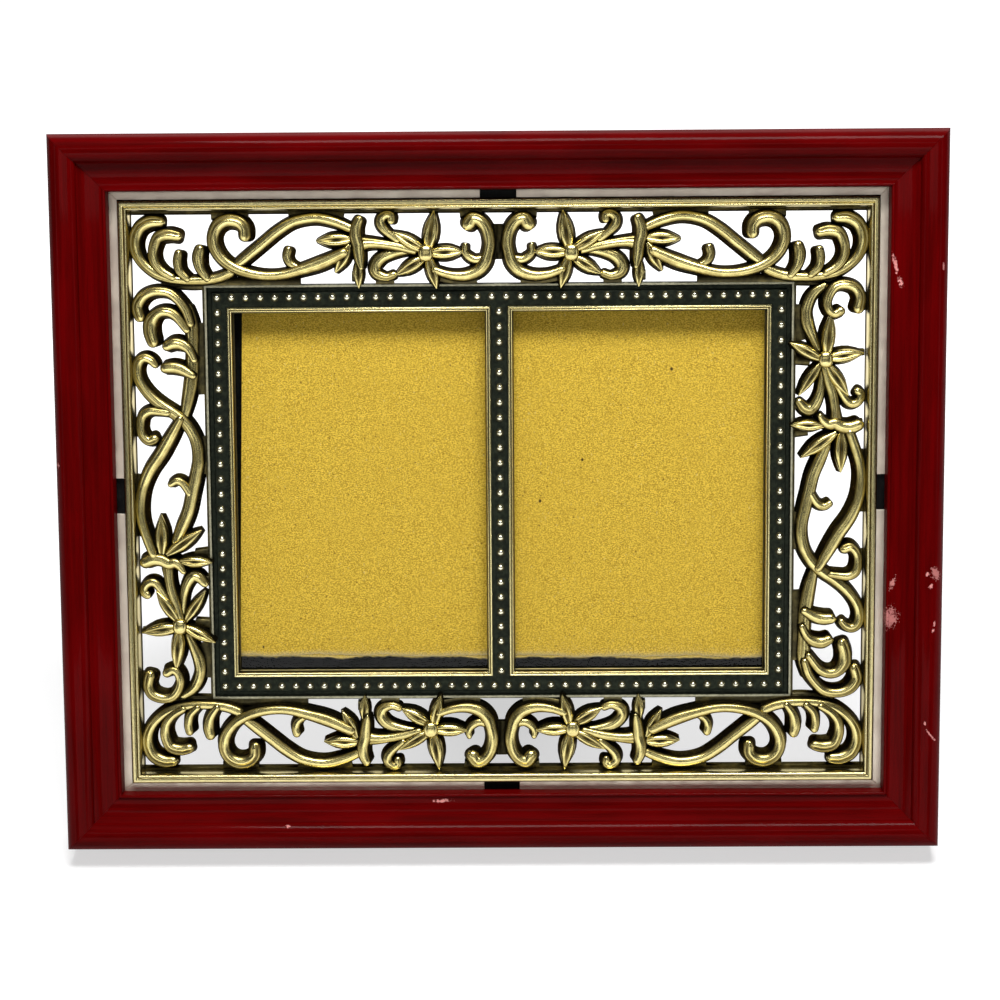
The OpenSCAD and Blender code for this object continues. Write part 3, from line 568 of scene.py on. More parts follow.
def moulding():
    """Section of the wood moulding, from its outer edge inwards and from its back up."""
    cove_to = (RAIL_W - 2 * SIGHT_LIP, RAIL_DEPTH - SIGHT_DROP - SIGHT_LIP)
    cove_from = (BEAD_W, RAIL_DEPTH - BEAD_DROP)
    cove = []
    steps = 14
    for i in range(1, steps):
        t = i / steps
        fall = (cove_to[1] - cove_from[1]) * t - COVE_SAG * 4 * t * (1 - t)
        cove.append((cove_from[0] + (cove_to[0] - cove_from[0]) * t, cove_from[1] + fall))
    flange_seat = FLANGE_FRONT + SEAT_GAP
    eased = BACK_EDGE * 0.3
    return (
        [(BACK_EDGE, 0), (eased, eased), (0, BACK_EDGE)]
        + arc((BEAD_W / 2, RAIL_DEPTH - BEAD_ROLL), BEAD_W / 2, BEAD_ROLL, 180, 90, 20)
        + arc((BEAD_W / 2, RAIL_DEPTH - BEAD_DROP), BEAD_W / 2, BEAD_DROP, 84, 0, 14)
        + cove
        + arc((RAIL_W - SIGHT_LIP, cove_to[1]), SIGHT_LIP, SIGHT_LIP, 180, 0, 10)
        + [(RAIL_W, flange_seat), (WALL_W, flange_seat), (WALL_W, 0)]
    )


def turned(turn, x, y, z):
    """A point turned by quarters about the middle of the frame."""
    for _ in range(turn):
        x, y = -y, x
    return (x, y, z)


def make_rail(name, turn, look):
    """One mitred rail, divided along its length, turned by quarters from the bottom."""
    outline = moulding()
    length, height = (FRAME_W, FRAME_H) if turn % 2 == 0 else (FRAME_H, FRAME_W)
    stations = 24
    run = [0.0]
    for a, b in zip(outline, outline[1:]):
        run.append(run[-1] + math.dist(a, b))
    shape, uvs, rings = Shape(), [], []
    for i in range(stations + 1):
        share = 2 * i / stations - 1
        ring = []
        for (across, z), v in zip(outline, run):
            x = share * (length / 2 - across - MITRE_GAP)
            ring.append(turned(turn, x, across - height / 2, z))
            uvs.append((x + turn * GRAIN_SHIFT, v))
        rings.append(ring)
    loft(shape, rings, [0.0] * (len(rings) * len(outline)))
    make_piece(name + "_moulding", shape, look, [name], uvs=uvs)


def rectangle_loop(rows, half_w, half_h, shape, middle=0.0):
    """A four-sided moulding: rows give inset across, inset up, height and wear."""
    points, wear = [], []
    for sx, sy in ((-1, -1), (1, -1), (1, 1), (-1, 1)):
        for inset_x, inset_y, z, worn in rows:
            points.append((middle + sx * (half_w - inset_x), sy * (half_h - inset_y), z))
            wear.append(worn)
    shape.add(points, grid_faces(4, len(rows), True), wear)


def even(rows):
    """Rows of inset, height and wear with the same inset on all four sides."""
    return [(inset, inset, z, worn) for inset, z, worn in rows]


def ridge_rows(start, width, base, height, low_wear, high_wear=1.0):
    """One fine round ridge, most worn on its crown."""
    rows = []
    for i in range(RIDGE_STEPS + 1):
        angle = math.pi * (1 - i / RIDGE_STEPS)
        rise = math.sin(angle)
        worn = low_wear + (high_wear - low_wear) * rise ** 1.5
        rows.append((start + width / 2 * (1 + math.cos(angle)), base + height * rise, worn))
    return rows


def make_rim(look, flange_look):
    """The ridged rim round the openwork, and the flange that fills the strip beside it."""
    shape = Shape()
    base = RIM_FRONT - RIM_RIDGE
    outer, inner = 0.54 * RIM_W, 0.32 * RIM_W
    # Rows of inset, height and wear: dark foot and outer wall, two ridges, and an inner wall
    # painted bright, partly rubbed metal and partly a painted highlight on a wall that lies in
    # shade
    rows = (
        [
            (0, RIM_BACK, 0.0), (-RIM_FOOT, FLANGE_FRONT - 0.8, 0.0),
            (-RIM_FOOT, FLANGE_FRONT + 0.05, 0.0), (0, FLANGE_FRONT + 0.3, 0.0),
            (0, base - 0.3, 0.05), (RIM_EDGE / 2, base - 0.1, 0.3),
        ]
        + ridge_rows(RIM_EDGE, outer, base, RIM_RIDGE * 0.6, 0.6, 0.84)
        + ridge_rows(RIM_EDGE + outer + 0.05, inner, base - 0.04, RIM_RIDGE, 0.55)
        + [
            # Inner wall: its high wear is partly a painted highlight that lightens it where the
            # openwork shades it
            (RIM_W - 0.02, base - 0.5, 0.7), (RIM_W, base - 0.9, 0.85),
            (RIM_W, RIM_BACK + 2.8, 0.7), (RIM_W, RIM_BACK + 1.6, 0.1), (RIM_W, RIM_BACK, 0.0),
        ]
    )
    rectangle_loop(even(rows), RIM_OUT_W / 2, RIM_OUT_H / 2, shape)
    make_piece("metal_rim_ridges", shape, look, ["metal_rim"])
    flange = Shape()
    reach = RIM_GAP + RABBET_W - BOARD_GAP
    inside = reach + FLANGE_TUCK
    back = FLANGE_FRONT - FLANGE_T
    section = [(0.0, back), (0.0, FLANGE_FRONT), (inside, FLANGE_FRONT), (inside, back)]
    for turn in range(4):
        half_long = (RIM_OUT_W if turn % 2 == 0 else RIM_OUT_H) / 2 + reach
        half_short = (RIM_OUT_H if turn % 2 == 0 else RIM_OUT_W) / 2 + reach
        for side in (-1, 1):
            rings = []
            for at_mitre in (False, True):
                ring = []
                for across, z in section:
                    x = side * (half_long - across if at_mitre else NOTCH_W / 2)
                    ring.append(turned(turn, x, across - half_short, z))
                rings.append(ring)
            loft(flange, rings, [0.5] * 8)
    bevel(make_piece("metal_rim_flange", flange, flange_look), FLANGE_BEVEL, 2)


# Filigree, in shares of its bands. Top band, left half: places in percent of the half length
# and of the band, then the width of the scroll in percent of the band.
LOW, MID, HIGH = 0.62, 0.80, 0.92
CROWN_SHARE = 0.34
WEB_LEVEL = 0.35
WEB_EASE = 0.25
DRAFT_SHARE = 0.12
HALF_SCROLL_SHARES = [
    # Outer frond and the stem that carries the fronds
    (MID, 0.8, [(8.2, 85, 16), (5.7, 85, 19), (3, 78, 19), (1.6, 65, 18), (1.4, 51, 17),
        (2.4, 37, 15), (4.4, 25, 14), (7.2, 15, 14), (10.5, 9, 13), (15, 6, 12), (20, 6.5, 13),
        (24, 10, 14), (27, 16, 14)]),
    (HIGH, 0.9, [(13, 66, 15), (10.6, 68, 17), (8, 64.5, 16), (6.8, 54, 15), (6.4, 42, 14),
        (7, 30, 13), (8.8, 19, 12), (11.5, 11, 10)]),
    (HIGH, 0.4, [(13.3, 42, 12), (13, 31, 13), (13.6, 19, 12), (15.5, 9, 10)]),
    (HIGH, 0.4, [(19, 47, 15), (18.6, 36, 17), (19.2, 22, 14), (21, 9, 10)]),
    # C-scroll that runs on as the lower vine
    (HIGH, 0.8, [(31.4, 66, 17), (31.2, 77, 18), (29.4, 85, 19), (26.6, 86.5, 19), (24.2, 80, 18),
        (22.9, 68, 17), (22.9, 54, 17), (24.4, 39, 16), (27, 27, 15), (31, 17.5, 14),
        (36, 12.5, 13), (41, 13, 13), (46, 19, 15), (52, 28.5, 18), (58, 42, 14)]),
    # S-scroll that climbs to the rim
    (MID, 0.0, [(27.3, 20, 13), (31, 35, 16), (35.5, 53, 16), (40, 71, 16), (44.5, 84, 15),
        (50, 89, 15), (55, 85, 15), (60, 75, 12)]),
    (MID, 0.3, [(43, 46, 12), (42.7, 37, 12), (43.6, 28, 11), (46, 21, 9)]),
    # Trumpet and its throat
    (HIGH, 0.3, [(62.3, 86, 13), (61.5, 76, 16), (61.4, 64, 17), (62, 53, 17), (62.2, 42, 15),
        (62.5, 30, 12), (62.8, 22, 6)]),
    (MID, 0.5, [(62.4, 54, 22), (65, 55, 16), (68.5, 53.5, 13), (72.5, 50, 12), (77, 44, 10)]),
    # Small curls beside the throat
    (MID, 0.4, [(71, 85, 11), (71, 91, 12), (69.7, 93, 12), (68.2, 87, 14), (68.4, 78, 14),
        (70, 69, 11), (72.5, 59, 9)]),
    (LOW, 0.6, [(71.4, 12, 11), (69.4, 9, 12), (66.9, 14, 16), (66.5, 25, 18), (68.7, 36.5, 17),
        (73, 43, 14), (77.5, 45, 11)]),
    # C-scroll at the middle with its hook
    (HIGH, 0.5, [(92, 80, 20), (93.2, 87, 19), (95.4, 83, 17), (97, 71, 16), (97.6, 55, 16),
        (97.1, 40, 16), (96.2, 27, 18), (94.1, 16, 17), (90.6, 10.5, 15), (86.5, 12, 12),
        (82.8, 18, 10)]),
    (MID, 0.2, [(91, 51, 8), (90.9, 43, 10), (91.9, 36, 12), (93.8, 31.5, 12), (96.4, 34, 12)]),
]
# Leaves of the same half: base, tip and width
HALF_LEAF_SHARES = [
    (MID, (60.5, 60), (50.5, 58.5), 22),
    (MID, (59.8, 53), (55.7, 15), 19),
    (LOW, (61.8, 32), (62, -6), 15),
    (HIGH, (80.9, 44), (82.6, 98), 21),
    (HIGH, (80.4, 43), (71.2, 70), 19),
    (MID, (80.4, 36), (72, 11.5), 20),
    (HIGH, (81, 38), (83.2, -7), 18),
    (HIGH, (80.8, 41), (90.8, 42.5), 21),
]
HALF_FLOWER_SHARES = (80.3, 41, 22)
# Webs that tie the same half to the rim and the border
HALF_WEB_SHARES = [
    [(-1, 99.5, 7), (101, 99.5, 7)],
    [(22, 94, 12), (32, 94, 12)],
    [(43, 95, 12), (51, 97, 12), (58, 91, 16)],
    [(68, 97, 8), (72, 97, 8)],
    [(89.5, 95, 12), (95.5, 97, 8)],
    [(8, 1, 10), (28, 3, 12), (46, 3, 12)],
    [(66.5, 4, 10), (71.5, 4, 10)],
    [(84, 8, 12), (89, 4, 12), (94, 6, 14)],
    [(99.7, 32, 12), (99.7, 80, 12)],
    [(60, 10, 12), (63, 10, 12)],
]
# Left band: places in percent of the band and of its length from the top, and the width of
# the scroll in percent of the band
SIDE_SCROLL_SHARES = [
    # Fronds and the dark stem that carries them
    (HIGH, 0.9, [(12, 7.3, 16), (9, 5, 17), (15.5, 2.9, 17), (27, 1.7, 15), (41, 1.4, 14),
        (55, 1.9, 14), (67, 3.6, 13), (77, 6, 13), (83, 9, 11)]),
    (LOW, 0.5, [(78, 5.6, 15), (83, 9.7, 20), (83, 15, 19), (82, 20, 20), (79, 24, 20),
        (75, 27.5, 18), (70, 31, 13)]),
    (HIGH, 0.9, [(29.5, 13.2, 18), (26, 11, 20), (27, 8.6, 20), (37, 6.6, 16), (50, 6.2, 15),
        (63, 7.3, 14), (77, 10.4, 11)]),
    (HIGH, 0.4, [(50, 14.3, 15), (59, 13.7, 18), (70, 14, 17), (80, 15.2, 13), (87, 17.5, 10)]),
    (HIGH, 0.2, [(47, 19.5, 16), (57, 19.4, 18), (69, 19.9, 17), (84, 21.3, 11)]),
    # Long S-scroll
    (MID, 0.6, [(31, 18.6, 11), (25.5, 17.6, 13), (17, 17.1, 14), (9, 17.9, 15), (5.5, 19.9, 15),
        (7.5, 22.1, 15), (15, 24.4, 15), (26, 26.6, 16), (40, 28.6, 17), (56, 30.4, 17),
        (70, 32.4, 17), (81, 35, 16), (87.5, 38.2, 17), (88.5, 42, 17), (84, 46, 18),
        (78.5, 50, 18), (73, 54, 18), (64.5, 57.5, 18), (55.5, 61, 14)]),
    (MID, 0.4, [(50, 47.2, 10), (58, 46.5, 12), (67, 47.2, 12), (76, 49.5, 12)]),
    # C-scroll and the long S-scroll below it
    (HIGH, 0.8, [(28, 36.4, 15), (20, 36.8, 14), (12, 35.5, 13), (9.5, 33.5, 12), (12, 31, 14),
        (22, 29.8, 13), (35, 29.9, 11), (47, 30.2, 10)]),
    (HIGH, 0.3, [(65, 31.8, 12), (58, 33.8, 15), (48.5, 36.6, 18), (35.5, 40.3, 19),
        (20.5, 44, 18), (10.5, 48, 16), (6.5, 52, 15), (7.5, 56, 14), (14, 60, 14),
        (22.5, 64, 13)]),
    # Trumpet and its throat
    (HIGH, 0.3, [(12, 66, 18), (22, 65.4, 19), (34, 65.6, 18), (44, 66.4, 17), (53, 66.2, 15),
        (60, 67, 12), (65, 68.2, 8)]),
    (MID, 0.5, [(42, 67.5, 18), (43.5, 70, 14), (46.5, 73, 14), (52, 76, 14), (58, 79.5, 12)]),
    # Small curls beside the throat
    (MID, 0.4, [(12, 74, 12), (8, 73.4, 12), (9, 72, 12), (16, 71, 13), (24, 71.2, 13),
        (32, 72.8, 11), (42, 75.5, 8)]),
    (LOW, 0.6, [(93, 71.4, 12), (85, 69.9, 18), (76, 69.7, 19), (67.5, 71.8, 16), (63, 74.5, 13),
        (60.5, 78.5, 13)]),
    # C-scroll at the end and the dark stem beside it
    (HIGH, 0.8, [(13, 93.7, 17), (10.5, 96, 16), (15, 98, 16), (25, 99, 15), (37, 99.2, 14),
        (47, 98.5, 14), (54, 96.8, 14), (56.5, 94.8, 13), (53, 93, 12), (46, 92.3, 12),
        (38.5, 92.9, 14)]),
    (LOW, 0.5, [(68, 84, 11), (75.5, 87, 15), (82, 90, 18), (84, 93, 17), (79, 95.8, 17),
        (71, 97.6, 15), (60, 98.8, 12)]),
]
SIDE_LEAF_SHARES = [
    (MID, (34, 65), (34.5, 54.6), 22),
    (HIGH, (42, 64.2), (91.5, 58.3), 20),
    (HIGH, (60, 65.8), (106, 66.1), 18),
    (HIGH, (56, 80.5), (25.5, 73), 20),
    (HIGH, (58, 81.8), (4, 83.1), 21),
    (HIGH, (56.5, 82.2), (51, 92.5), 21),
    (HIGH, (62, 81.5), (108, 85.6), 18),
    (MID, (64, 80.8), (95, 73), 16),
]
SIDE_FLOWER_SHARES = (58, 81.6, 22)
SIDE_WEB_SHARES = [
    [(100, -1, 4), (100, 101, 4)],
    [(2, 3, 10), (3, 7, 10)],
    [(2, 17.5, 8), (2, 22, 8)],
    [(3, 31.5, 10), (3, 36, 10)],
    [(3, 45, 10), (3, 52, 14), (5, 60, 10)],
    [(3, 66, 14), (14, 66, 12)],
    [(2, 71.5, 8), (2, 74, 8)],
    [(2, 83.1, 8), (9, 83.1, 8)],
    [(3, 93, 10), (4, 97, 10)],
    [(62, 0.2, 9), (84, 0.3, 10), (101, 0.2, 10)],
    [(95, 9, 10), (95, 12, 16), (93, 16, 18), (94, 21, 16), (95.5, 26, 13)],
    [(96, 36, 12), (96, 40, 16), (94, 45, 14)],
    [(80, 64.2, 10), (101, 63.9, 12)],
    [(88, 70.5, 14), (101, 71, 14)],
    [(78, 80.9, 10), (101, 81.5, 14)],
    [(90, 86, 16), (95, 90, 14), (93, 94.5, 14)],
    [(62, 99.6, 8), (101, 99.8, 8)],
]


def top_place(q):
    """Place and width in millimetres of a share in the top band's left half."""
    return (
        (q[0] / 100 - 1) * OPENING_W / 2,
        BORDER_H / 2 + q[1] / 100 * TOP_BAND_W,
        q[2] / 100 * TOP_BAND_W,
    )


def side_place(q):
    """Place and width in millimetres of a share in the left band."""
    return (
        q[0] / 100 * SIDE_BAND_W - OPENING_W / 2,
        (1 - q[1] / 50) * BORDER_H / 2,
        q[2] / 100 * SIDE_BAND_W,
    )


def smooth_run(rows, steps):
    """Points on a smooth curve through rows of place and width."""
    rows = np.array(rows, float)
    padded = np.vstack([rows[:1], rows, rows[-1:]])
    run = []
    for i in range(len(rows) - 1):
        a, b, c, d = padded[i : i + 4]
        for t in np.arange(steps) / steps:
            bend = (2 * a - 5 * b + 4 * c - d) * t * t + (3 * b - a - 3 * c + d) * t ** 3
            run.append((2 * b + (c - a) * t + bend) / 2)
    run.append(rows[-1])
    return np.array(run)


def headings(run):
    """Unit directions along a run of points."""
    step = np.gradient(run[:, :2], axis=0)
    return step / np.linalg.norm(step, axis=1)[:, None]


def ring_across(at, way, half, section):
    """Points of a section across a run, whose rows give place in half widths and height."""
    left = np.array([-way[1], way[0]])
    return [(*(at + left * half * across), z) for across, z, *_ in section]


# Section of a scroll, in shares of its half width unless a comment says otherwise
ARCH_STEPS = 22
RUN_STEPS = 6
CROWN_SWELL = 1.25  # of the crown that CROWN_SHARE gives
CROWN_LIMIT = 0.7  # of the height of the openwork
GROOVE_WIDTH = 0.17
GROOVE_PLACE = 0.34
GROOVE_DEPTH = 0.42  # of the crown
ROUND_END = (84, 66, 46, 24)  # degrees of the rings that close an end


def scroll_ring(at, heading, half, back, front, groove, side):
    """Section across a scroll: drafted walls, a round crown and a fine groove beside it."""
    rise = min(half * 2 * CROWN_SHARE * CROWN_SWELL, (front - back) * CROWN_LIMIT)
    shoulder = front - rise
    foot = 1 + (front - back) * DRAFT_SHARE / half
    middle = 1 + (foot - 1) * 0.4
    rows = [(-foot, back, 0.0), (-middle, (back + shoulder) / 2, 0.0)]
    for i in range(ARCH_STEPS + 1):
        angle = math.pi * (1 - i / ARCH_STEPS)
        across, lift = math.cos(angle), math.sin(angle)
        dip = groove * math.exp(-(((across - side * GROOVE_PLACE) / GROOVE_WIDTH) ** 2))
        worn = max(0.0, min(1.0, (lift - 0.2) / 0.78)) ** 1.2 * (1 - 0.9 * min(1.0, dip * 1.3))
        rows.append((across, shoulder + rise * (lift - GROOVE_DEPTH * dip), worn))
    rows += [(middle, (back + shoulder) / 2, 0.0), (foot, back, 0.0)]
    return ring_across(at, heading, half, rows), [worn for _, _, worn in rows]


def bend_side(run):
    """Which side of a run is the outside of its curl at the start: 1 is left and -1 right."""
    way = headings(run)
    first = max(2, len(run) // 3)
    turned = sum(way[i][0] * way[i + 1][1] - way[i][1] * way[i + 1][0] for i in range(first))
    return -1 if turned > 0 else 1


def add_scroll(shape, rows, back, front, groove):
    """A scroll with round ends, whose groove is deepest in its curl and fades along its run."""
    run = smooth_run(rows, RUN_STEPS)
    way = headings(run)
    side = bend_side(run)
    rings, wear = [], []

    def put(at, heading, half, top, share):
        ring, worn = scroll_ring(at, heading, half, back, top, share, side)
        rings.append(ring)
        wear.extend(worn)

    def round_end(index, outward, share, angles):
        half = run[index][2] / 2
        for degrees in angles:
            lean = math.radians(degrees)
            place = run[index][:2] + outward * way[index] * half * math.sin(lean)
            top = front - half * 2 * CROWN_SHARE * (1 - math.cos(lean))
            put(place, way[index], half * math.cos(lean), top, share)

    round_end(0, -1, groove / 2, ROUND_END)
    for i, point in enumerate(run):
        fade = 1 - 0.75 * min(1.0, i / (len(run) * 0.75))
        put(point[:2], way[i], point[2] / 2, front, groove * fade)
    round_end(-1, 1, 0.0, reversed(ROUND_END))
    loft(shape, rings, wear)


def add_web(shape, rows, back, front):
    """A low dark web with drafted sides and a softly rounded top."""
    run = smooth_run(rows, 4)
    way = headings(run)
    rings, wear = [], []
    for point, heading in zip(run, way):
        half = point[2] / 2
        foot = 1 + (front - back) * DRAFT_SHARE / half
        edge = front - WEB_EASE
        section = [(-foot, back), (-1, edge), (-0.8, front), (0.8, front), (1, edge), (foot, back)]
        rings.append(ring_across(point[:2], heading, half, section))
        wear += [0.0, 0.0, 0.08, 0.08, 0.0, 0.0]
    loft(shape, rings, wear)


# Half width of a leaf along its length, and half of its section from the edge to the crease:
# place across, height over the shoulder (none at the back) and wear
LEAF_WIDTH_SHARES = [
    (0, 0.34), (0.15, 0.68), (0.32, 0.94), (0.5, 0.96), (0.66, 0.84), (0.85, 0.46), (0.95, 0.2),
    (1, 0.06),
]
HALF_SECTION_SHARES = [
    (0.95, None, 0.0), (1.0, -0.25, 0.0), (0.95, 0.22, 0.25), (0.78, 0.68, 0.85),
    (0.55, 0.92, 1.0), (0.33, 0.95, 0.85), (0.17, 0.72, 0.35), (0.06, 0.48, 0.0),
]
LEAF_SECTION_SHARES = [(-a, z, w) for a, z, w in HALF_SECTION_SHARES] + HALF_SECTION_SHARES[::-1]
LEAF_STEPS = 18


def add_leaf(shape, base, tip, width, back, front):
    """A pointed leaf with two plump halves and a crease that runs out before its tip."""
    base, tip = np.array(base), np.array(tip)
    length = np.linalg.norm(tip - base)
    way = (tip - base) / length
    rise = min(width * 0.42, (front - back) * 0.6)
    shoulder = front - rise
    rings, wear = [], []
    for i in range(LEAF_STEPS + 1):
        t = i / LEAF_STEPS
        half = width / 2 * float(np.interp(t, *zip(*LEAF_WIDTH_SHARES)))
        swell = math.sin(math.pi * (0.16 + 0.74 * t)) ** 0.7
        crease = max(0.0, 1 - abs(t - 0.45) / 0.5)
        section = []
        for across, height, worn in LEAF_SECTION_SHARES:
            if height is None:
                z = back
                across += math.copysign((front - back) * DRAFT_SHARE / half, across)
            else:
                flat = 0.95 * math.sqrt(max(0.0, 1 - across * across))
                z = shoulder + rise * swell * (height * crease + max(height, flat) * (1 - crease))
            section.append((across, z))
            lit = worn if height is None else worn * crease + max(worn, 0.75) * (1 - crease)
            wear.append(lit if height is not None and height > 0 else worn)
        rings.append(ring_across(base + way * length * t, way, half, section))
    loft(shape, rings, wear)


# Heart of a flower: half widths in shares of its width, the power that squares its outline,
# and rows of radius, depth under the front (none at the back) and wear
BOSS_HALF_SHARES = (0.46, 0.52)
BOSS_POWER = 2.7
BOSS_SIDES = 28
BOSS_ROWS = [
    (0.96, None, 0.0), (1.0, 1.5, 0.0), (0.99, 0.9, 0.25), (0.9, 0.5, 0.8), (0.7, 0.2, 1.0),
    (0.4, 0.03, 0.95), (0.12, 0.0, 0.9),
]


def add_round(shape, rows, at, reach, sides, power=2.0):
    """A turned solid: rows give radius, height and wear. A power over 2 squares its outline."""
    rings, wear = [], []
    for radius, z, worn in rows:
        ring = []
        for k in range(sides):
            c, s = math.cos(2 * math.pi * k / sides), math.sin(2 * math.pi * k / sides)
            out = radius * (abs(c) ** power + abs(s) ** power) ** (-1 / power)
            ring.append((at[0] + c * out * reach[0], at[1] + s * out * reach[1], z))
        rings.append(ring)
        wear += [worn] * sides
    loft(shape, rings, wear)


def add_boss(shape, at, width, back, front):
    """The domed heart of a flower, a little square, with eased edges."""
    rows = [(r, back if depth is None else front - depth, w) for r, depth, w in BOSS_ROWS]
    reach = [width * share for share in BOSS_HALF_SHARES]
    add_round(shape, rows, at, reach, BOSS_SIDES, BOSS_POWER)


def motif(scrolls, leaves, flower, webs, place, band):
    """A whole motif of scrolls, leaves, flower and webs."""
    shape = Shape()
    back = RIM_BACK
    for level, groove, rows in scrolls:
        add_scroll(shape, [place(q) for q in rows], back, back + OPENWORK_T * level, groove)
    for level, base, tip, width in leaves:
        start, end = place((*base, 0))[:2], place((*tip, 0))[:2]
        add_leaf(shape, start, end, width / 100 * band, back, back + OPENWORK_T * level)
    x, y, width = place(flower)
    add_boss(shape, (x, y), width, back, back + OPENWORK_T)
    for rows in webs:
        add_web(shape, [place(q) for q in rows], back, back + OPENWORK_T * WEB_LEVEL)
    return shape


def make_filigree(look):
    """Four openwork panels: mirrored halves at the top and bottom, and one motif at each side."""
    half = motif(
        HALF_SCROLL_SHARES, HALF_LEAF_SHARES, HALF_FLOWER_SHARES, HALF_WEB_SHARES,
        top_place, TOP_BAND_W,
    )
    side = motif(
        SIDE_SCROLL_SHARES, SIDE_LEAF_SHARES, SIDE_FLOWER_SHARES, SIDE_WEB_SHARES,
        side_place, SIDE_BAND_W,
    )
    # Each panel: its motif, and the signs of X and Y of every copy of it
    for place, shape, copies in (
        ("top", half, [(1, 1), (-1, 1)]),
        ("bottom", half, [(1, -1), (-1, -1)]),
        ("left", side, [(1, 1)]),
        ("right", side, [(-1, -1)]),
    ):
        panel = Shape()
        for sx, sy in copies:
            panel.add([(sx * x, sy * y, z) for x, y, z in shape.points], shape.faces, shape.wear)
        make_piece(
            place + "_scrollwork", panel, look, [place + "_filigree"], sharp=60
        )


def add_cells(shape, xs, ys, holes, low, high):
    """A plate between two levels on a grid of lines, with some of its cells left open."""
    index, points, faces = {}, [], []

    def point(i, k, level):
        key = (i, k, level)
        if key not in index:
            index[key] = len(points)
            points.append((xs[i], ys[k], (low, high)[level]))
        return index[key]

    def is_solid(i, k):
        return 0 <= i < len(xs) - 1 and 0 <= k < len(ys) - 1 and (i, k) not in holes

    for i in range(len(xs) - 1):
        for k in range(len(ys) - 1):
            if not is_solid(i, k):
                continue
            corners = [(i, k), (i + 1, k), (i + 1, k + 1), (i, k + 1)]
            for level in (0, 1):
                faces.append(tuple(point(a, b, level) for a, b in corners))
            for n, (di, dk) in enumerate(((0, -1), (1, 0), (0, 1), (-1, 0))):
                if not is_solid(i + di, k + dk):
                    (a, b), (c, d) = corners[n], corners[(n + 1) % 4]
                    faces.append(
                        (point(a, b, 0), point(c, d, 0), point(c, d, 1), point(a, b, 1))
                    )
    shape.add(points, faces, [0.0] * len(points))


def make_border(patina, brass, pearl_look):
    """The beaded border: lip and groove, pearled ground, window beads and pearls."""
    body = Shape()
    groove_end = BORDER_LIP + GROOVE_W
    # Rows of inset, height and wear: outer wall, worn lip, groove and the edge of the ground
    lip = even(
        [
            (0.0, BORDER_EASE, 0.0), (0.0, BORDER_T - 0.2, 0.15), (0.2, BORDER_T, 0.75),
            (0.45, BORDER_T, 0.9), (0.65, BORDER_T - 0.04, 0.7),
            (BORDER_LIP, BORDER_T - 0.25, 0.1), (BORDER_LIP + 0.08, GROOVE_Z, 0.0),
            (groove_end - 0.1, GROOVE_Z, 0.0),
            (groove_end, GROUND_Z - 0.12, 0.0), (groove_end + 0.12, GROUND_Z, 0.12),
        ]
    )
    walls = [(SIDE_WALL, END_WALL, GROUND_Z, 0.0), (SIDE_WALL, END_WALL, 0.0, 0.0)]
    foot = even([(BORDER_EASE, 0.0, 0.0)])
    rectangle_loop(lip + walls + foot, BORDER_W / 2, BORDER_H / 2, body)
    left = -WINDOW_X - WINDOW_W / 2 - WEB_SET
    across = [-POCKET_W / 2 - WALL_BITE, left, -DIVIDER_W / 2 + WEB_SET]
    lines_x = across + [-x for x in reversed(across)]
    up = [-POCKET_H / 2 - WALL_BITE, -WINDOW_H / 2 - WEB_SET]
    lines_y = up + [-y for y in reversed(up)]
    add_cells(body, lines_x, lines_y, {(1, 1), (3, 1)}, WEB_BACK, GROUND_Z)
    make_piece("border_ground", body, patina, ["window_border"])
    beads = Shape()
    outer = 0.56 * WINDOW_BEAD_W
    inner = WINDOW_BEAD_W - outer - 0.06
    rise = WINDOW_BEAD_H - 0.3
    seat = GLASS_SEAT + 0.02
    # Rows of inset, height and wear: two ridges, then the inner wall down to the glass
    rows = even(
        [(0.0, GROUND_Z - 0.5, 0.0), (0.0, GROUND_Z, 0.2)]
        + ridge_rows(0.02, outer, GROUND_Z + 0.3, rise, 0.55)
        + ridge_rows(0.04 + outer, inner, GROUND_Z + 0.12, rise, 0.4)
        + [
            (WINDOW_BEAD_W, GROUND_Z - 0.4, 0.12), (WINDOW_BEAD_W, GLASS_SEAT + 0.9, 0.05),
            (WINDOW_BEAD_W + 0.2, GLASS_SEAT + 0.75, 0.2),
            (WINDOW_BEAD_W + 0.25, GLASS_SEAT + 0.5, 0.1),
            (WINDOW_BEAD_W + 0.2, seat, 0.0), (-WEB_SET, seat, 0.0),
            (-WEB_SET, GROUND_Z - 0.5, 0.0),
        ]
    )
    half_w, half_h = WINDOW_W / 2 + WINDOW_BEAD_W, WINDOW_H / 2 + WINDOW_BEAD_W
    for side in (-1, 1):
        rectangle_loop(rows, half_w, half_h, beads, side * WINDOW_X)
    make_piece("window_beads", beads, brass)
    make_pearls(pearl_look)


def make_pearls(look):
    """Round pearls on low dark collars, round both windows and down the divider."""
    rows = [(1.25, -0.02, 0.0), (1.12, 0.05, 0.0), (0.98, 0.06, 0.0)]
    for degrees in (12, 28, 44, 60, 75):
        angle = math.radians(degrees)
        rows.append((math.cos(angle), math.sin(angle), min(1.0, 0.25 + degrees / 55)))
    rows = [(radius, GROUND_Z + PEARL_R * height, worn) for radius, height, worn in rows]
    across = (BORDER_W / 2 - BORDER_LIP + WINDOW_X + WINDOW_W / 2 + WINDOW_BEAD_W) / 2
    up = (BORDER_H / 2 - BORDER_LIP + WINDOW_H / 2 + WINDOW_BEAD_W) / 2
    places = []
    for i in range(PEARL_COLUMNS):
        places += [(across * (2 * i / (PEARL_COLUMNS - 1) - 1), side * up) for side in (-1, 1)]
    for i in range(1, PEARL_ROWS - 1):
        places += [(side * across, up * (2 * i / (PEARL_ROWS - 1) - 1)) for side in (-1, 0, 1)]
    pearls = Shape()
    for place in places:
        add_round(pearls, rows, place, (PEARL_R, PEARL_R), PEARL_SIDES)
    make_piece("border_pearls", pearls, look)


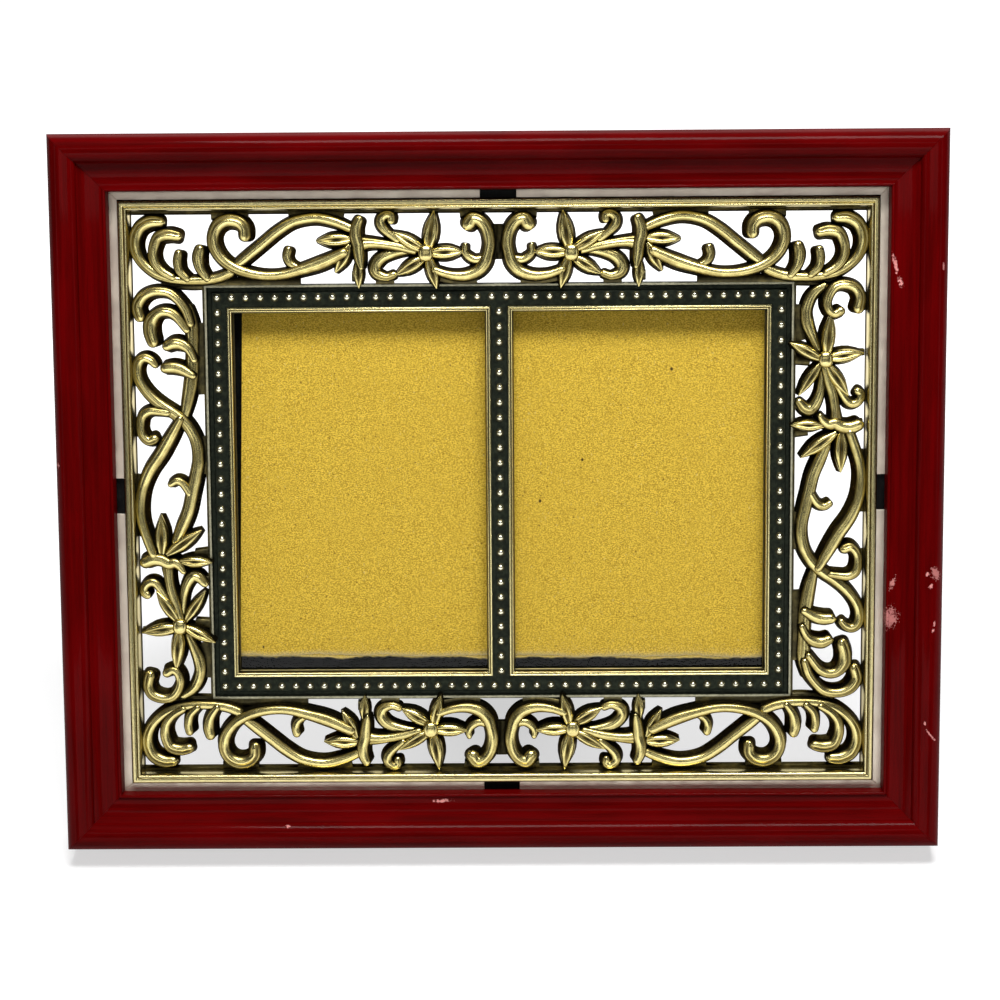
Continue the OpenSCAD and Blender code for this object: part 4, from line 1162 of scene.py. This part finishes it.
def torn(t, seed):
    """Height of a torn edge at a share of its length."""
    slow, mid, fast = (math.sin(t * n + seed * k) for k, n in ((1, 19.7), (2, 43), (3, 97)))
    return TEAR_DEPTH * (slow + mid + 0.6 * fast) / 3


def make_board(look):
    """The chipboard behind both windows, askew, with its face ply torn a little higher."""
    chance = random.Random(11)
    shape = Shape()
    c, s = math.cos(BOARD_TILT), math.sin(BOARD_TILT)
    right, top = POCKET_W / 2 - BOARD_GAP, POCKET_H / 2 - BOARD_GAP - BOARD_W * s

    def ply(low, high, lift, seed, fray):
        rings, wear = [], []
        for i in range(EDGE_STEPS + 1):
            t = i / EDGE_STEPS
            edge = torn(t, seed) - BOARD_DROP + lift + EDGE_UP + EDGE_RISE * t
            edge += chance.uniform(-fray, fray)
            ring = []
            for y, z, worn in (
                (0.0, low, 0.0), (0.0, high, 0.0), (edge + 1.2, high, 0.0),
                (edge + 0.35, high, 0.35), (edge, (low + high) / 2, 0.9), (edge + 0.1, low, 0.5),
            ):
                x = -(BOARD_W + (BOARD_FLARE if y else 0.0)) * (1 - t)
                ring.append((right + x * c + y * s, top - x * s + y * c, z))
                wear.append(worn)
            rings.append(ring)
        loft(shape, rings, wear)

    face_back = BOARD_BACK + BOARD_T - FACE_PLY
    ply(BOARD_BACK, face_back, 0.0, 1.4, 0.14)
    ply(face_back, BOARD_BACK + BOARD_T, FACE_SHORT, 4.1, 0.16)
    make_piece("torn_board", shape, look, ["backing_board"], sharp=50)


def make_back(look, leg_look):
    """The black back panel and the tapered leg, both with soft edges."""
    panel = Shape()
    half_w, half_h = POCKET_W / 2 - BOARD_GAP, POCKET_H / 2 - BOARD_GAP
    add_cells(panel, [-half_w, half_w], [-half_h, half_h], set(), 0.0, PANEL_T)
    bevel(make_piece("covered_back_panel", panel, look, ["back_panel"]), PANEL_BEVEL)
    leg = Shape()
    out, up = LEG_TOP_W / 2 - LEG_CORNER, LEG_TOP - LEG_CORNER
    # The foot has no fixed height: its ends reach the ground on both faces
    outline = (
        [(-LEG_FOOT_W / 2, None)]
        + arc((-out, up), LEG_CORNER, LEG_CORNER, 180, 90, 8)
        + arc((out, up), LEG_CORNER, LEG_CORNER, 90, 0, 8)
        + [(LEG_FOOT_W / 2, None)]
    )
    rings = []
    for z, reach in ((-LEG_FACE, LEG_REACH_FACE), (-LEG_FACE - LEG_T, LEG_REACH_BACK)):
        rings.append([(x, -reach if y is None else y, z) for x, y in outline])
    loft(leg, rings, [0.0] * (2 * len(outline)))
    pin = Matrix.Translation((0, PIN_UP, PIN_BACK))
    on_pin = STAND @ pin @ Matrix.Rotation(LEG_OPEN, 4, "X")
    piece = make_piece(
        "covered_leg", leg, leg_look, ["easel_leg"], body="leg", matrix=on_pin
    )
    bevel(piece, LEG_BEVEL)


def finish_cad_nodes():
    """Gives each CAD node that still shows its own material."""
    for make_look, names in (
        (clear_glass, ("left_glass", "right_glass")),
        (coated_steel, ("retaining_clips",)),
        (bright_steel, (
            "corner_nails", "clip_screws", "panel_leaf", "leg_leaf", "hinge_pin", "panel_rivets",
            "leg_rivets", "button_rivets", "top_left_button", "top_right_button",
            "bottom_left_button", "bottom_right_button",
        )),
    ):
        look = make_look()
        for name in names:
            materials = frame["nodes"][name].data.materials
            materials.clear()
            materials.append(look)


# Light and view: the floor's tone near the object and how it pales with distance in metres,
# and the backdrop that metal mirrors behind the object (direction from, to, tone from, to)
FLOOR_HALF = 3.0
FLOOR_MATT = 0.55
FLOOR_LIFT = 0.6
LIFT_FROM, LIFT_TO = 0.15, 0.4
WORLD_LIGHT = 0.035
BACKDROP_RAMP = (0.25, 0.75, 0.0, 0.8)
FOCAL_PIXELS = 2200.0
IMAGE_PIXELS = 1000.0
SENSOR_MM = 36.0
CAMERA_PLACE = (4.6, 61.0, 524.8)
CAMERA_TURN = (-6.93, 0.47, -0.38)
# Lamps: name, place, aim, size across and up, and strength in watts
LAMPS = [
    ("above", (60, 640, 470), (0, 0, 0), (460, 240), 8.0),
    ("front", (0, 105, 640), (0, 0, 0), (520, 70), 0.22),
    ("low", (0, -235, 640), (0, 0, 0), (520, 150), 0.42),
    ("right", (560, 60, 380), (0, 0, 0), (110, 300), 0.14),
    ("left", (-560, 60, 380), (0, 0, 0), (110, 300), 0.14),
    ("behind", (0, 520, -260), (0, 60, -60), (600, 260), 1.6),
]


def make_floor():
    """A white sweep that keeps the object's shadow."""
    corners = [(x * FLOOR_HALF, y * FLOOR_HALF, 0) for x, y in ((-1, -1), (1, -1), (1, 1), (-1, 1))]
    mesh = bpy.data.meshes.new("floor")
    mesh.from_pydata(corners, [], [(0, 1, 2, 3)])
    look = Look("white_floor")
    path = look.node("ShaderNodeLightPath").outputs
    seen = look.math("MAXIMUM", path["Is Camera Ray"], path["Is Transmission Ray"])
    seen = look.math("MAXIMUM", seen, path["Is Glossy Ray"])
    place = look.node("ShaderNodeTexCoord").outputs["Object"]
    away = look.node("ShaderNodeVectorMath", {0: place}, operation="LENGTH").outputs["Value"]
    lift = look.math("MULTIPLY", seen, look.ramp(away, LIFT_FROM, LIFT_TO, FLOOR_LIFT, 1.0))
    matt = look.node("ShaderNodeBsdfDiffuse", {"Color": (FLOOR_MATT, FLOOR_MATT, FLOOR_MATT)})
    glow = look.node("ShaderNodeEmission", {"Color": (1, 1, 1), "Strength": lift})
    both = look.node("ShaderNodeAddShader", {0: matt.outputs["BSDF"], 1: glow.outputs["Emission"]})
    look.put(look.output.inputs["Surface"], both.outputs["Shader"])
    mesh.materials.append(look.material)
    add_object("floor", mesh)


def make_lamps():
    for name, place, aim, size, power in LAMPS:
        data = bpy.data.lights.new(name, "AREA")
        data.shape = "RECTANGLE"
        data.size, data.size_y = size[0] * MM, size[1] * MM
        data.energy = power
        lamp = add_object(name, data)
        lamp.location = STAND @ Vector(place)
        aimed = STAND @ Vector(aim) - lamp.location
        lamp.rotation_euler = aimed.to_track_quat("-Z", "Y").to_euler()


def make_world():
    """Pale even light, and white where the camera sees it or metal mirrors it from behind."""
    world = bpy.data.worlds.new("studio")
    world.use_nodes = True
    bpy.context.scene.world = world
    sky = Nodes(world.node_tree)
    sky.tree.nodes.clear()
    path = sky.node("ShaderNodeLightPath").outputs
    place = sky.node("ShaderNodeTexCoord").outputs["Generated"]
    depth = sky.node("ShaderNodeSeparateXYZ", {"Vector": place}).outputs["Y"]
    names = ("From Min", "From Max", "To Min", "To Max")
    ramp = {"Value": depth, **dict(zip(names, BACKDROP_RAMP))}
    behind = sky.node("ShaderNodeMapRange", ramp).outputs["Result"]
    white = sky.math("MULTIPLY", behind, path["Is Glossy Ray"])
    white = sky.math("MAXIMUM", white, path["Is Camera Ray"])
    pale = {"Color": (0.96, 0.98, 1.0), "Strength": WORLD_LIGHT}
    light = sky.node("ShaderNodeBackground", pale).outputs["Background"]
    backdrop = sky.node("ShaderNodeBackground", {"Color": (1, 1, 1)}).outputs["Background"]
    mixed = sky.node("ShaderNodeMixShader", {"Fac": white, 1: light, 2: backdrop})
    sky.put(sky.node("ShaderNodeOutputWorld").inputs["Surface"], mixed.outputs["Shader"])


def make_camera():
    data = bpy.data.cameras.new("camera")
    data.sensor_width = SENSOR_MM
    data.lens = FOCAL_PIXELS / IMAGE_PIXELS * SENSOR_MM
    data.clip_start, data.clip_end = 0.02, 20.0
    camera = add_object("camera", data)
    turn = Matrix.Rotation(math.radians(CAMERA_TURN[2]), 3, "Z")
    turn = turn @ Matrix.Rotation(math.radians(CAMERA_TURN[1]), 3, "Y")
    turn = turn @ Matrix.Rotation(math.radians(CAMERA_TURN[0]), 3, "X")
    stand = STAND.to_3x3().normalized()
    camera.matrix_world = Matrix.Translation(STAND @ Vector(CAMERA_PLACE)) @ (stand @ turn).to_4x4()
    bpy.context.scene.camera = camera


wood = cherry_lacquer()
brass = antique_brass()
pearl_metal = antique_brass("pearl_metal", (0.86, 0.84, 0.66), (0.34, 0.33, 0.2))
rim_metal = antique_brass("rim_metal", (0.82, 0.73, 0.38), (0.36, 0.29, 0.105), 0.03)
for rail_turn, rail_name in enumerate(("bottom_rail", "right_rail", "top_rail", "left_rail")):
    make_rail(rail_name, rail_turn, wood)
make_rim(rim_metal, pewter_flange())
make_filigree(brass)
make_border(border_patina(), rim_metal, pearl_metal)
make_board(kraft_board())
make_back(
    black_board("black_board", (0.002, 0.002, 0.002), (0.006, 0.006, 0.005), 0.5),
    black_board("black_leg_cover", (0.014, 0.013, 0.013), (0.042, 0.040, 0.038), 0.35),
)
finish_cad_nodes()
make_floor()
make_lamps()
make_world()
make_camera()
bpy.context.scene.view_settings.view_transform = "Standard"
